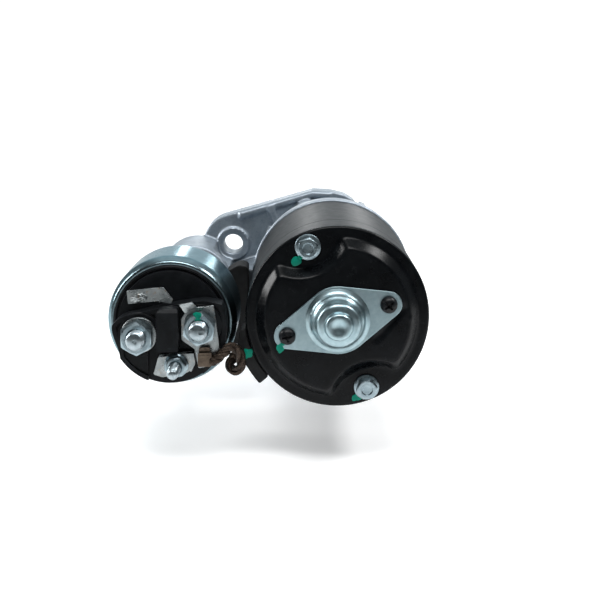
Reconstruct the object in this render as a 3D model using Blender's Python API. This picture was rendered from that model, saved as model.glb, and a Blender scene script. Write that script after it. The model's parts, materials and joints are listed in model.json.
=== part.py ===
"""Planetary-gear starter motor, modelled as separate working pieces.

Metres, +Z up. The origin is on the shaft axis, in the plane of the flange's mating
face, and +Y runs along the shaft to the pinion nose. Sizes below are in millimetres
and are turned into metres by MM.
"""
import math

import bmesh
import bpy
from mathutils import Matrix, Vector

MM = 0.001
GAP = 0.3

# Motor body, measured along Y from the flange face
COVER_RIM_Y = -160.0
PLATEAU_Y = -165.0
SKIRT_END_Y = -138.0
YOKE_END_Y = -60.0
YOKE_OUTER_R = 39.0
YOKE_INNER_R = 35.5

# Through bolts and the shaft cap's screws
BOLT_R = 32.6
BOLT_ANGLES = (112.6, 292.6)
SCALLOP_R = 12.5
CAP_SCREW_R = 22.2
CAP_SCREW_ANGLES = (197.5, 17.5)

# Solenoid
SOL = (-71.1, -3.5)
CAN_R = 28.0
PULL = 11.0
BATTERY_XZ = (-83.3, -6.3)
MOTOR_XZ = (-57.6, -2.6)
CONTROL_XZ = (-67.7, -18.9)
STUD_TILT = 8.2
SOL_SCREW_R = 21.7
SOL_SCREW_ANGLES = (165.0, 285.0)

# Planetary gears
MODULE = 1.4
PRESSURE_ANGLE = 25.0
SUN_TEETH = 11
PLANET_TEETH = 13
RING_TEETH = 37
PLANET_ORBIT = 0.5 * MODULE * (SUN_TEETH + PLANET_TEETH)
PLANET_ANGLES = (90.0, 210.0, 330.0)
BACKLASH = 0.16

# Shift lever, collar and pinion
PIVOT_XY = (-38.0, -31.0)
PLUNGER_ARM = 33.0
FORK_ARM = 38.0
REST_TILT = -9.5
COLLAR_Y = -37.3
HELIX_RAD_PER_MM = 0.0485
PINION_TEETH = 10
PINION_MODULE = 2.11

# Flange
HOLE_1 = (-52.0, 11.5)
HOLE_2 = (22.0, -48.5)
FLANGE_HOLE_R = 5.25
FLANGE_REAR_Y = -16.0
WINDOW_ANGLE = 50.0

# Brushes
BRUSH_ANGLES = (67.6, 157.6, 247.6, 337.6)

MATERIALS = {
    "cast_aluminium": ((0.50, 0.55, 0.58), 0.9, 0.45),
    "black_paint": ((0.018, 0.021, 0.024), 0.0, 0.30),
    "black_plastic": ((0.016, 0.018, 0.020), 0.0, 0.42),
    "black_rubber": ((0.014, 0.015, 0.016), 0.0, 0.75),
    "bright_zinc": ((0.62, 0.68, 0.70), 1.0, 0.26),
    "black_steel": ((0.035, 0.038, 0.042), 0.8, 0.38),
    "tinned_copper": ((0.66, 0.67, 0.66), 1.0, 0.30),
    "copper": ((0.72, 0.38, 0.22), 1.0, 0.35),
    "braided_copper": ((0.16, 0.12, 0.10), 0.8, 0.60),
    "ground_steel": ((0.56, 0.57, 0.58), 1.0, 0.30),
    "magnet_ferrite": ((0.07, 0.07, 0.075), 0.1, 0.65),
    "core_steel": ((0.30, 0.31, 0.33), 0.9, 0.50),
    "winding_varnish": ((0.42, 0.16, 0.07), 0.6, 0.40),
    "carbon_brush": ((0.06, 0.055, 0.05), 0.2, 0.60),
    "sintered_bronze": ((0.52, 0.36, 0.20), 0.9, 0.45),
    "spring_steel": ((0.40, 0.41, 0.43), 1.0, 0.32),
}


# ---------------------------------------------------------------- scene set-up
def clear_scene():
    for obj in list(bpy.data.objects):
        bpy.data.objects.remove(obj, do_unlink=True)


def new_collection(name):
    collection = bpy.data.collections.new(name)
    bpy.context.scene.collection.children.link(collection)
    return collection


def principled(name):
    colour, metallic, roughness = MATERIALS[name]
    material = bpy.data.materials.new(name)
    material.use_nodes = True
    shader = material.node_tree.nodes["Principled BSDF"]
    shader.inputs["Base Color"].default_value = (*colour, 1.0)
    shader.inputs["Metallic"].default_value = metallic
    shader.inputs["Roughness"].default_value = roughness
    material.diffuse_color = (*colour, 1.0)
    return material


clear_scene()
PARTS = new_collection("starter_motor")
CUTTERS = new_collection("cutters")
SHADERS = {name: principled(name) for name in MATERIALS}


def add_part(name, mesh, material, pivot=(0.0, 0.0, 0.0)):
    """Link a mesh given in millimetres in the motor's frame, with its origin at pivot."""
    mesh.transform(Matrix.Scale(MM, 4) @ Matrix.Translation(-Vector(pivot)))
    obj = bpy.data.objects.new(name, mesh)
    obj.location = Vector(pivot) * MM
    PARTS.objects.link(obj)
    obj.data.materials.clear()
    obj.data.materials.append(SHADERS[material])
    for polygon in mesh.polygons:
        polygon.use_smooth = True
    mesh.set_sharp_from_angle(angle=math.radians(32.0))
    return obj


def combine(target, tool_mesh, operation):
    """Add an exact boolean of a mesh in millimetres; the tool object stays hidden."""
    tool_mesh.transform(Matrix.Scale(MM, 4))
    tool = bpy.data.objects.new(target.name + "_tool", tool_mesh)
    CUTTERS.objects.link(tool)
    tool.hide_render = True
    tool.display_type = "WIRE"
    modifier = target.modifiers.new(operation.lower(), "BOOLEAN")
    modifier.operation = operation
    modifier.solver = "EXACT"
    modifier.object = tool
    return modifier


def cut(target, *tools):
    for tool in tools:
        combine(target, tool, "DIFFERENCE")


def join(target, *tools):
    for tool in tools:
        combine(target, tool, "UNION")


# ---------------------------------------------------------------- plane outlines
def polar(radius, degrees, centre=(0.0, 0.0)):
    angle = math.radians(degrees)
    return (centre[0] + radius * math.cos(angle), centre[1] + radius * math.sin(angle))


def circle(centre, radius, count=24, start=0.0):
    return [polar(radius, start + 360.0 * i / count, centre) for i in range(count)]


def turned_outline(points, degrees, centre=(0.0, 0.0)):
    """Rotate an outline about a centre."""
    cos_a = math.cos(math.radians(degrees))
    sin_a = math.sin(math.radians(degrees))
    result = []
    for x, z in points:
        dx, dz = x - centre[0], z - centre[1]
        result.append((centre[0] + cos_a * dx - sin_a * dz, centre[1] + sin_a * dx + cos_a * dz))
    return result


def hull(points):
    """Convex hull of plane points, anticlockwise."""
    ordered = sorted(set((round(x, 5), round(z, 5)) for x, z in points))

    def chain(sequence):
        line = []
        for p in sequence:
            while len(line) > 1 and cross(line[-2], line[-1], p) <= 1e-9:
                line.pop()
            line.append(p)
        return line[:-1]

    return chain(ordered) + chain(ordered[::-1])


def cross(a, b, c):
    return (b[0] - a[0]) * (c[1] - a[1]) - (b[1] - a[1]) * (c[0] - a[0])


def rectangle(x0, x1, z0, z1):
    return [(x0, z0), (x1, z0), (x1, z1), (x0, z1)]


def sector(r_in, r_out, start, end, steps=8):
    """Ring sector between two angles in degrees."""
    outer = [polar(r_out, start + (end - start) * i / steps) for i in range(steps + 1)]
    inner = [polar(r_in, end + (start - end) * i / steps) for i in range(steps + 1)]
    return outer + inner


def bitten_disc(radius, bite_radius, count=48):
    """Disc with a round bite taken out at each through bolt."""
    reach = (radius**2 + BOLT_R**2 - bite_radius**2) / (2.0 * radius * BOLT_R)
    half = math.degrees(math.acos(min(1.0, reach)))
    corners = [bolt + half * f for bolt in BOLT_ANGLES for f in (-1.0, -0.8, 0.0, 0.8, 1.0)]
    angles = [a % 360.0 for a in corners]
    for i in range(count):
        angle = 360.0 * i / count
        if min(abs(angle - a) for a in angles) > 120.0 / count:
            angles.append(angle)
    points = []
    for angle in sorted(angles):
        radius_here = radius
        for bolt in BOLT_ANGLES:
            along = BOLT_R * math.cos(math.radians(angle - bolt))
            off = BOLT_R * math.sin(math.radians(angle - bolt))
            if along > 0.0 and abs(off) < bite_radius:
                near = along - math.sqrt(bite_radius**2 - off**2)
                radius_here = min(radius_here, near)
        points.append(polar(radius_here, angle))
    return points


def involute(angle):
    return math.tan(angle) - angle


def gear_outline(teeth, module, start=0.0, internal=False, centre=(0.0, 0.0),
                 addendum=0.8, dedendum=1.05, thinning=BACKLASH, flank_steps=1):
    """Involute gear outline with a tooth (or, internal, a space) centred on start degrees."""
    pressure = math.radians(PRESSURE_ANGLE)
    pitch_r = 0.5 * module * teeth
    base_r = pitch_r * math.cos(pressure)
    sign = -1.0 if internal else 1.0
    tip_r = pitch_r + module * (dedendum if internal else addendum)
    root_r = pitch_r - module * (addendum if internal else dedendum)
    half_tooth = math.pi / (2.0 * teeth) - sign * thinning / (2.0 * pitch_r)
    flank_start = max(root_r, base_r)
    radii = [flank_start + (tip_r - flank_start) * i / flank_steps for i in range(flank_steps + 1)]

    def half_width(radius):
        local = math.acos(min(1.0, base_r / radius))
        return half_tooth + involute(pressure) - involute(local)

    points = []
    for tooth in range(teeth):
        middle = math.radians(start) + 2.0 * math.pi * tooth / teeth
        left = [(r, middle - half_width(r)) for r in radii]
        right = [(r, middle + half_width(r)) for r in reversed(radii)]
        if root_r < flank_start:
            left = [(root_r, middle - half_width(flank_start))] + left
            right = right + [(root_r, middle + half_width(flank_start))]
        for radius, angle in left + right:
            points.append((centre[0] + radius * math.cos(angle), centre[1] + radius * math.sin(angle)))
    return points


# ---------------------------------------------------------------- solid builders
def mesh_from(name, build):
    mesh = bpy.data.meshes.new(name)
    work = bmesh.new()
    build(work)
    bmesh.ops.remove_doubles(work, verts=work.verts, dist=0.0005)
    bmesh.ops.recalc_face_normals(work, faces=work.faces)
    work.to_mesh(mesh)
    work.free()
    return mesh


def turned(profile, centre=(0.0, 0.0), steps=36, start=0.0):
    """Solid of revolution about a Y line; profile is (radius, y) round the section."""
    def build(work):
        verts = [work.verts.new((r, y, 0.0)) for r, y in profile]
        edges = []
        for i, vert in enumerate(verts):
            after = verts[(i + 1) % len(verts)]
            on_axis = profile[i][0] < 1e-6 and profile[(i + 1) % len(verts)][0] < 1e-6
            if not on_axis:
                edges.append(work.edges.new((vert, after)))
        bmesh.ops.spin(work, geom=verts + edges, cent=(0, 0, 0), axis=(0, 1, 0),
                       angle=2.0 * math.pi, steps=steps, use_merge=True)
        bmesh.ops.rotate(work, verts=work.verts, cent=(0, 0, 0),
                         matrix=Matrix.Rotation(math.radians(start), 3, "Y"))
        bmesh.ops.translate(work, verts=work.verts, vec=(centre[0], 0.0, centre[1]))
    return mesh_from("turned", build)


def rod(centre, radius, y0, y1, steps=16):
    return turned([(0.0, y1), (radius, y1), (radius, y0), (0.0, y0)], centre, steps)


def tube(centre, r_in, r_out, y0, y1, steps=32):
    return turned([(r_in, y1), (r_out, y1), (r_out, y0), (r_in, y0)], centre, steps)


def prism(outlines, y0, y1):
    """Flat outline, with any hole outlines after it, extruded along Y."""
    if isinstance(outlines[0][0], (int, float)):
        outlines = [outlines]
    curve = bpy.data.curves.new("outline", "CURVE")
    curve.dimensions = "2D"
    curve.fill_mode = "BOTH"
    curve.extrude = 0.5 * (y1 - y0)
    for outline in outlines:
        spline = curve.splines.new("POLY")
        spline.points.add(len(outline) - 1)
        for point, (x, z) in zip(spline.points, outline):
            point.co = (x, z, 0.0, 1.0)
        spline.use_cyclic_u = True
    return solid_from_curve(curve, Matrix.Translation((0, 0.5 * (y0 + y1), 0))
                            @ Matrix.Rotation(math.radians(90.0), 4, "X"))


def solid_from_curve(curve, matrix):
    carrier = bpy.data.objects.new("carrier", curve)
    bpy.context.scene.collection.objects.link(carrier)
    graph = bpy.context.evaluated_depsgraph_get()
    graph.update()
    mesh = bpy.data.meshes.new_from_object(carrier.evaluated_get(graph))
    bpy.data.objects.remove(carrier, do_unlink=True)
    bpy.data.curves.remove(curve)
    work = bmesh.new()
    work.from_mesh(mesh)
    bmesh.ops.remove_doubles(work, verts=work.verts, dist=0.0005)
    bmesh.ops.transform(work, matrix=matrix, verts=work.verts)
    bmesh.ops.recalc_face_normals(work, faces=work.faces)
    work.to_mesh(mesh)
    work.free()
    return mesh


def wire(path, radius, resolution=2):
    """Round wire through points, with closed ends."""
    curve = bpy.data.curves.new("wire", "CURVE")
    curve.dimensions = "3D"
    curve.bevel_depth = radius
    curve.bevel_resolution = resolution
    curve.use_fill_caps = True
    spline = curve.splines.new("POLY")
    spline.points.add(len(path) - 1)
    for point, co in zip(spline.points, path):
        point.co = (*co, 1.0)
    return solid_from_curve(curve, Matrix.Identity(4))


def box(x0, x1, y0, y1, z0, z1):
    def build(work):
        bmesh.ops.create_cube(work, size=1.0)
        size = Matrix.Diagonal((x1 - x0, y1 - y0, z1 - z0, 1.0))
        middle = Matrix.Translation((0.5 * (x0 + x1), 0.5 * (y0 + y1), 0.5 * (z0 + z1)))
        bmesh.ops.transform(work, matrix=middle @ size, verts=work.verts)
    return mesh_from("box", build)


def turn_mesh(mesh, degrees, axis="Y", centre=(0.0, 0.0, 0.0)):
    """Rotate a mesh about an axis through a point; about Y, positive is X towards Z."""
    angle = -math.radians(degrees) if axis == "Y" else math.radians(degrees)
    move = Matrix.Translation(Vector(centre))
    mesh.transform(move @ Matrix.Rotation(angle, 4, axis) @ move.inverted())
    return mesh


def upright_rod(x, y, radius, z0, z1, steps=16):
    def build(work):
        bmesh.ops.create_cone(work, cap_ends=True, segments=steps, radius1=radius,
                              radius2=radius, depth=z1 - z0)
        bmesh.ops.translate(work, verts=work.verts, vec=(x, y, 0.5 * (z0 + z1)))
    return mesh_from("upright_rod", build)


def twisted(outline, y0, y1, rad_per_mm, layers):
    """Outline extruded along Y while it turns, X towards Z, as y grows."""
    def build(work):
        rings = []
        for i in range(layers + 1):
            y = y0 + (y1 - y0) * i / layers
            turn = math.degrees(rad_per_mm * (y - COLLAR_Y))
            rings.append([work.verts.new((x, y, z)) for x, z in turned_outline(outline, turn)])
        for low, high in zip(rings, rings[1:]):
            for i in range(len(outline)):
                k = (i + 1) % len(outline)
                work.faces.new((low[i], low[k], high[k], high[i]))
        work.faces.new(rings[0])
        work.faces.new(rings[-1])
    return mesh_from("twisted", build)


def hexagon(centre, across_flats, start=0.0):
    return circle(centre, across_flats / math.sqrt(3.0), 6, start)


# ---------------------------------------------------------------- housing and shells
def web_outline():
    return [(-62.0, -25.0), (-20.0, -25.0), (-20.0, 4.0), (-41.0, 4.0), (-62.0, -3.0)]


def pad_outline():
    ears = [circle(polar(SOL_SCREW_R, a, SOL), 5.0, 12) for a in SOL_SCREW_ANGLES]
    return hull(circle(SOL, 18.4, 24) + ears[0] + ears[1])


def flange_outline():
    points = circle(HOLE_1, 16.0, 20) + circle(HOLE_2, 14.5, 20) + circle((0.0, 0.0), 33.0, 28)
    return hull(points + [(-13.0, 40.6), (6.0, 39.5), (12.7, 35.7)])


def build_housing():
    shell = turned([
        (40.0, -60.0), (34.6, -60.0), (34.6, -42.0), (21.5, -42.0), (21.5, -11.0),
        (18.5, -8.0), (18.5, 4.0), (15.5, 7.0), (15.5, 33.0), (8.3, 35.0), (8.3, 48.0),
        (12.0, 48.0), (12.5, 36.0), (19.0, 31.0), (19.0, 4.6), (30.0, 4.6), (30.0, -8.0),
        (24.8, -8.0), (24.8, -31.0), (39.2, -42.8),
    ], steps=32)
    housing = add_part("drive_end_housing", shell, "cast_aluminium")

    # Flange with a raised rim, its holes and the rear recess
    join(housing, prism([flange_outline(), circle((0.0, 0.0), 22.9, 24)], FLANGE_REAR_Y, 0.0))

    # Tower for the solenoid, the pad it bolts to and the web that carries the lever
    join(housing, prism(circle(SOL, 19.5, 24), -56.0, -14.0))
    join(housing, prism(web_outline(), -56.0, -15.0))
    join(housing, prism(circle(SOL, 17.2, 24), -76.0, -52.0))
    join(housing, prism(pad_outline(), -80.0, -74.0))
    for angle in BOLT_ANGLES:
        join(housing, rod(polar(BOLT_R, angle), 6.3, -46.0, -30.0))

    cut(housing, rod(SOL, 15.0, -81.0, -19.5, 24))
    cut(housing, box(-60.0, -18.0, -41.7, -19.5, -8.0, 1.0))
    cut(housing, box(-60.0, -42.5, -57.0, -41.0, -8.0, 1.0))
    cut(housing, upright_rod(*PIVOT_XY, 2.65, -15.0, 6.0))
    cut(housing, rod((0.0, 0.0), 34.8, -61.0, -42.0, 32))
    for angle in BOLT_ANGLES:
        cut(housing, rod(polar(BOLT_R, angle), 2.8, -61.0, -34.0, 12))
    for angle in SOL_SCREW_ANGLES:
        cut(housing, rod(polar(SOL_SCREW_R, angle, SOL), 2.8, -81.0, -73.0, 12))
    for hole in (HOLE_1, HOLE_2):
        cut(housing, prism(circle(hole, FLANGE_HOLE_R, 20, 4.0), -20.0, 1.0))
    cut(housing, rod(HOLE_1, 9.0, -45.0, FLANGE_REAR_Y + 1.5, 16))
    window = box(13.0, 40.0, 6.0, 26.0, -9.5, 9.5)
    cut(housing, turn_mesh(window, WINDOW_ANGLE))
    return housing


def build_motor_shell():
    add_part("yoke", tube((0.0, 0.0), YOKE_INNER_R, YOKE_OUTER_R, SKIRT_END_Y + GAP,
                          YOKE_END_Y - GAP, 48), "black_paint")
    for number in range(4):
        middle = BOLT_ANGLES[0] + 45.0 + 90.0 * number
        outline = sector(29.0, 35.2, middle - 36.0, middle + 36.0, 8)
        add_part(f"magnet_{number + 1}", prism(outline, -125.0, -77.0), "magnet_ferrite")


def build_rear_cover():
    dish = turned([
        (0.0, -157.9), (37.0, -157.9), (37.0, SKIRT_END_Y), (39.0, SKIRT_END_Y),
        (39.0, -159.2), (38.2, COVER_RIM_Y), (0.0, COVER_RIM_Y),
    ], steps=48)
    cover = add_part("rear_cover", dish, "black_paint")
    join(cover, prism(bitten_disc(33.4, SCALLOP_R), PLATEAU_Y, -159.0))
    cut(cover, prism(bitten_disc(31.4, SCALLOP_R + 2.0), -163.0, -157.5))
    join(cover, rod((0.0, 0.0), 9.6, -164.0, -153.0, 24))
    cut(cover, rod((0.0, 0.0), 7.35, -166.0, -152.0, 24))
    for angle in BOLT_ANGLES:
        cut(cover, rod(polar(BOLT_R, angle), 2.9, -161.0, -157.0, 12))
    for angle in CAP_SCREW_ANGLES:
        cut(cover, rod(polar(CAP_SCREW_R, angle), 2.2, -166.0, -162.0, 12))
    cut(cover, prism(sector(34.0, 41.0, 198.3, 211.7, 3), -158.5, -141.5))


def build_shaft_cap():
    ends = [circle(polar(CAP_SCREW_R, a), 5.6, 16) for a in CAP_SCREW_ANGLES]
    holes = [circle(polar(CAP_SCREW_R, a), 2.2, 12) for a in CAP_SCREW_ANGLES]
    outline = hull(circle((0.0, 0.0), 14.4, 32) + ends[0] + ends[1])
    plate = prism([outline, circle((0.0, 0.0), 10.0, 24)] + holes, -166.8, PLATEAU_Y - GAP)
    cap = add_part("shaft_end_cap", plate, "bright_zinc")
    join(cap, turned([
        (9.4, -165.3), (9.4, -168.6), (8.2, -170.0), (7.8, -175.6), (4.8, -177.0),
        (4.8, -180.1), (0.0, -180.1), (0.0, -181.6), (5.3, -181.6), (6.2, -178.4),
        (8.3, -177.6), (9.6, -172.0), (10.6, -169.0), (13.2, -166.2), (11.0, -165.3),
    ], steps=24))
    for name, angle in zip(("cap_screw_left", "cap_screw_right"), CAP_SCREW_ANGLES):
        centre = polar(CAP_SCREW_R, angle)
        screw = add_part(name, turned([
            (0.0, -158.0), (1.8, -158.0), (1.8, -167.1), (3.6, -167.1), (3.6, -168.3),
            (2.7, -169.3), (0.0, -169.6),
        ], centre, 14), "black_steel")
        for turn in (45.0, 135.0):
            slot = box(-2.2, 2.2, -170.0, -168.2, -0.45, 0.45)
            turn_mesh(slot, turn)
            slot.transform(Matrix.Translation((centre[0], 0.0, centre[1])))
            cut(screw, slot)


def build_through_bolts():
    for name, angle in zip(("through_bolt_upper", "through_bolt_lower"), BOLT_ANGLES):
        centre = polar(BOLT_R, angle)
        bolt = add_part(name, turned([
            (0.0, -34.5), (2.0, -34.5), (2.5, -35.2), (2.5, -160.3), (5.5, -160.3),
            (5.5, -161.0), (4.6, -161.9), (0.0, -161.9),
        ], centre, 16), "bright_zinc")
        head = prism(hexagon(centre, 8.0, angle), -165.8, -161.5)
        join(bolt, head)


# ---------------------------------------------------------------- solenoid
def build_solenoid_can():
    can = add_part("solenoid_can", turned([
        (15.0, -80.3), (17.5, -80.3), (17.5, -109.5), (26.0, -112.0),
        (28.0, -114.5), (28.0, -147.0), (26.3, -152.0), (24.9, -152.3), (24.9, -150.9),
        (26.0, -150.6), (26.0, -118.2), (10.9, -118.2), (10.9, -113.0), (15.0, -113.0),
    ], SOL, 32), "bright_zinc")
    join(can, prism([pad_outline(), circle(SOL, 16.3, 24)], -84.0, -80.3))
    for angle in SOL_SCREW_ANGLES:
        cut(can, rod(polar(SOL_SCREW_R, angle, SOL), 2.6, -85.0, -79.0, 12))

    add_part("solenoid_coil", tube(SOL, 11.5, 25.5, -141.0, -118.5, 32), "winding_varnish")
    add_part("solenoid_core", turned([
        (3.5, -129.0), (10.9, -129.0), (10.9, -141.3), (25.6, -141.3), (25.6, -144.0),
        (3.5, -144.0),
    ], SOL, 32), "core_steel")
    for name, angle in zip(("solenoid_screw_left", "solenoid_screw_lower"), SOL_SCREW_ANGLES):
        centre = polar(SOL_SCREW_R, angle, SOL)
        screw = add_part(name, turned([
            (0.0, -70.2), (3.4, -70.2), (4.0, -70.8), (4.0, -73.7), (2.4, -73.7),
            (2.4, -83.2), (0.0, -83.2),
        ], centre, 16), "bright_zinc")
        cut(screw, prism(hexagon(centre, 4.0), -71.9, -69.0))


def block_outline():
    """Raised terminal block, arched above and cut off at the lower left."""
    lower = [polar(24.6, a, SOL) for a in range(211, 385, 6)]
    top = [(-54.0, 9.8), (-68.0, 8.6), (-77.0, 6.0), (-83.0, 3.5), (-93.0, 0.0)]
    return top + [(-95.2, -4.0)] + [(-91.6, -14.6)] + lower


def build_solenoid_cap():
    cap = add_part("solenoid_cap", turned([
        (0.0, -144.3), (25.6, -144.3), (25.6, -150.6), (24.6, -150.6), (24.6, -153.0),
        (22.8, -153.0), (22.8, -154.2), (0.0, -154.2),
    ], SOL, 32), "black_plastic")
    join(cap, prism(block_outline(), -164.5, -150.0))
    join(cap, box(-75.4, -66.4, -172.0, -151.0, -12.0, 9.5))
    cut(cap, rod(SOL, 17.3, -152.2, -143.0, 20))
    pocket = hull(circle(BATTERY_XZ, 7.2, 16) + circle(MOTOR_XZ, 7.2, 16))
    cut(cap, prism(pocket, -160.2, -151.5))
    for centre in (BATTERY_XZ, MOTOR_XZ):
        cut(cap, rod(centre, 4.3, -165.0, -159.5))
    cut(cap, rod(CONTROL_XZ, 2.7, -173.0, -156.0, 12))
    cut(cap, box(-80.0, -57.0, -166.0, -161.6, -31.0, -12.4))


def stud(name, centre, tip_y, radius, head_y0, head_y1, head_half, material):
    post = add_part(name, turned([
        (0.0, head_y1), (radius, head_y1), (radius, tip_y + 0.8), (radius - 0.7, tip_y),
        (0.0, tip_y),
    ], centre, 16), material)
    if head_half > 0.0:
        outline = turned_outline(rectangle(-head_half, head_half, -head_half, head_half), STUD_TILT)
        outline = [(x + centre[0], z + centre[1]) for x, z in outline]
        join(post, prism(outline, head_y0, head_y1))
    return post


def nut(name, centre, across_flats, bore_r, y0, y1, start, material, flange_r=0.0):
    """Hexagon nut with turned-down corners on its outer face and an optional flange."""
    body = add_part(name, prism([hexagon(centre, across_flats, start),
                                 circle(centre, bore_r, 16)], y0, y1), material)
    if flange_r > 0.0:
        join(body, tube(centre, bore_r + 0.3, flange_r, y1 - 1.0, y1, 20))
    corner = 0.5 * across_flats
    ring = turned([
        (corner - 0.1, y0 - 0.2), (corner + 0.7, y0 + 0.55), (corner + 3.0, y0 + 2.0),
        (corner + 3.0, y0 - 1.0), (corner - 0.1, y0 - 1.0),
    ], centre, 18)
    cut(body, ring)
    return body


def build_terminals():
    stud("battery_stud", BATTERY_XZ, -180.0, 4.0, -159.8, -154.3, 5.0, "bright_zinc")
    stud("motor_stud", MOTOR_XZ, -180.0, 4.0, -159.8, -154.3, 5.0, "bright_zinc")
    stud("control_stud", CONTROL_XZ, -184.6, 2.5, 0.0, -156.5, 0.0, "bright_zinc")
    nut("battery_nut", BATTERY_XZ, 12.0, 4.2, -173.4, -166.9, 12.0, "bright_zinc")
    nut("motor_nut", MOTOR_XZ, 12.0, 4.2, -172.9, -166.7, 20.0, "bright_zinc")
    nut("control_nut", CONTROL_XZ, 8.0, 2.7, -172.6, -167.3, 10.0, "bright_zinc", 5.1)
    add_part("battery_washer", tube(BATTERY_XZ, 4.3, 7.6, -166.6, -164.8, 28), "bright_zinc")

    plate_outline = [
        (-66.0, 6.2), (-51.8, 6.2), (-49.5, -12.0), (-52.0, -14.0), (-52.4, -20.5),
        (-58.8, -20.5), (-59.6, -12.2), (-66.0, -9.3),
    ]
    add_part("motor_terminal_plate", prism([plate_outline, circle(MOTOR_XZ, 4.3, 24)],
                                           -166.4, -164.8), "tinned_copper")
    crimp = rectangle(-59.0, -52.6, -20.4, -12.9)
    add_part("braid_crimp", prism(crimp, -170.6, -166.7), "copper")

    bracket = turned_outline(rectangle(-9.3, 7.6, -4.6, 4.6), -10.0)
    bracket = [(x + CONTROL_XZ[0], z + CONTROL_XZ[1]) for x, z in bracket]
    terminal = add_part("control_terminal", prism([bracket, circle(CONTROL_XZ, 2.7, 16)],
                                                  -167.0, -161.9), "tinned_copper")
    relief = turned_outline(rectangle(-10.3, 6.5, -5.6, 5.6), -10.0)
    relief = [(x + CONTROL_XZ[0], z + CONTROL_XZ[1]) for x, z in relief]
    cut(terminal, prism(relief, -165.9, -162.9))

    tab = [(-89.1, 11.0), (-74.0, 12.8), (-69.9, 11.4), (-69.2, 9.9), (-74.9, 9.9),
           (-78.0, 9.0), (-88.4, 5.7)]
    blade = add_part("winding_tab", prism(tab, -160.8, -160.0), "tinned_copper")
    join(blade, prism(rectangle(-86.5, -84.5, 7.0, 11.0), -160.4, -154.5))


def build_lead():
    outer = [(42.2, 188.0), (43.1, 192.0)] + [(44.5, a) for a in (196, 200, 204, 208, 212, 217, 222)]
    inner = [(39.4, 222.0), (39.4, 217.0), (39.4, 211.0), (35.6, 211.0), (35.6, 205.0)]
    inner += [(35.6, 199.0), (39.4, 199.0), (39.4, 193.0), (39.4, 188.0)]
    lug = prism([polar(r, a) for r, a in outer + inner], -158.0, -142.0)
    add_part("cable_grommet", lug, "black_rubber")
    path = [
        (-51.1, -168.9, -15.95), (-50.4, -168.9, -15.5), (-47.9, -168.6, -13.4),
        (-45.7, -167.0, -11.6), (-43.3, -164.3, -12.2), (-41.3, -161.9, -15.4),
        (-40.8, -160.8, -19.8), (-43.0, -158.5, -23.4), (-45.7, -154.8, -23.3),
        (-45.9, -151.4, -21.7), (-44.7, -149.4, -19.8), (-43.4, -149.0, -18.6),
    ]
    add_part("braided_lead", wire(smooth(path, 2), 2.1), "braided_copper")


def smooth(path, cuts):
    """Catmull-Rom curve through the points."""
    points = [Vector(p) for p in path]
    points = [2.0 * points[0] - points[1]] + points + [2.0 * points[-1] - points[-2]]
    result = []
    for a, b, c, d in zip(points, points[1:], points[2:], points[3:]):
        for i in range(cuts):
            t = i / cuts
            result.append(0.5 * (2.0 * b + (c - a) * t + (2 * a - 5 * b + 4 * c - d) * t**2
                                 + (3 * b - a - 3 * c + d) * t**3))
    return result + [points[-2]]


# ---------------------------------------------------------------- armature and brushes
def slotted_outline(radius, depth, slots, slot_share, start=0.0):
    """Round outline with open slots, as on a laminated core or a commutator."""
    points = []
    pitch = 360.0 / slots
    half = 0.5 * slot_share * pitch
    for slot in range(slots):
        middle = start + pitch * slot
        points.append(polar(radius, middle - half))
        points.append(polar(radius - depth, middle - half))
        points.append(polar(radius - depth, middle + half))
        points.append(polar(radius, middle + half))
        points.append(polar(radius, middle + 0.5 * pitch))
    return points


def build_armature():
    shaft = add_part("armature_shaft", turned([
        (0.0, -46.2), (4.0, -46.2), (4.0, -53.9), (6.0, -53.9), (6.0, -67.5), (6.5, -68.0),
        (6.5, -153.2), (4.9, -153.4), (4.9, -166.4), (3.9, -166.4), (3.9, -168.3),
        (4.7, -168.3), (4.7, -174.2), (0.0, -174.2),
    ], steps=14), "ground_steel")
    join(shaft, prism(gear_outline(SUN_TEETH, MODULE, SUN_START), -67.0, -53.8))

    core = [slotted_outline(28.2, 5.5, 16, 0.28), circle((0.0, 0.0), 6.8, 16)]
    add_part("armature_core", prism(core, -122.0, -80.0), "core_steel")
    add_part("winding_rear", turned([
        (6.8, -122.3), (25.5, -122.3), (26.0, -125.0), (23.0, -129.0), (17.0, -131.0),
        (9.0, -131.0), (6.8, -129.0),
    ], steps=20), "winding_varnish")
    add_part("winding_front", turned([
        (6.8, -72.5), (10.0, -71.5), (20.0, -72.5), (25.0, -75.5), (25.8, -79.7),
        (6.8, -79.7),
    ], steps=20), "winding_varnish")
    bars = [slotted_outline(16.0, 0.7, 18, 0.12), circle((0.0, 0.0), 6.8, 16)]
    add_part("commutator", prism(bars, -152.0, -131.8), "copper")
    clip = sector(4.15, 8.0, -60.0, 240.0, 14)
    add_part("shaft_clip", prism(clip, -168.0, -166.7), "spring_steel")


def build_brush_gear():
    outline = [bitten_disc(35.1, 3.0, 32), circle((0.0, 0.0), 18.0, 20)]
    plate = add_part("brush_plate", prism(outline, -137.4, -134.6), "black_plastic")
    for number, angle in enumerate(BRUSH_ANGLES):
        walls = [box(19.5, 33.0, -149.7, -137.0, side * 4.6 - 0.7, side * 4.6 + 0.7)
                 for side in (-1.0, 1.0)]
        walls.append(box(31.6, 33.0, -149.7, -137.0, -4.6, 4.6))
        join(plate, *(turn_mesh(wall, angle) for wall in walls))
        brush = box(16.3, 28.0, -149.8, -137.8, -3.5, 3.5)
        add_part(f"brush_{number + 1}", turn_mesh(brush, angle), "carbon_brush")


# ---------------------------------------------------------------- gear train and drive
SUN_START = 360.0 / SUN_TEETH * 0.5


def planet_start(angle):
    """Angle of a planet's tooth that meets the sun's space at the given orbit angle."""
    phase = SUN_TEETH * (angle - SUN_START) - 180.0
    return angle + 180.0 + phase / PLANET_TEETH


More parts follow.
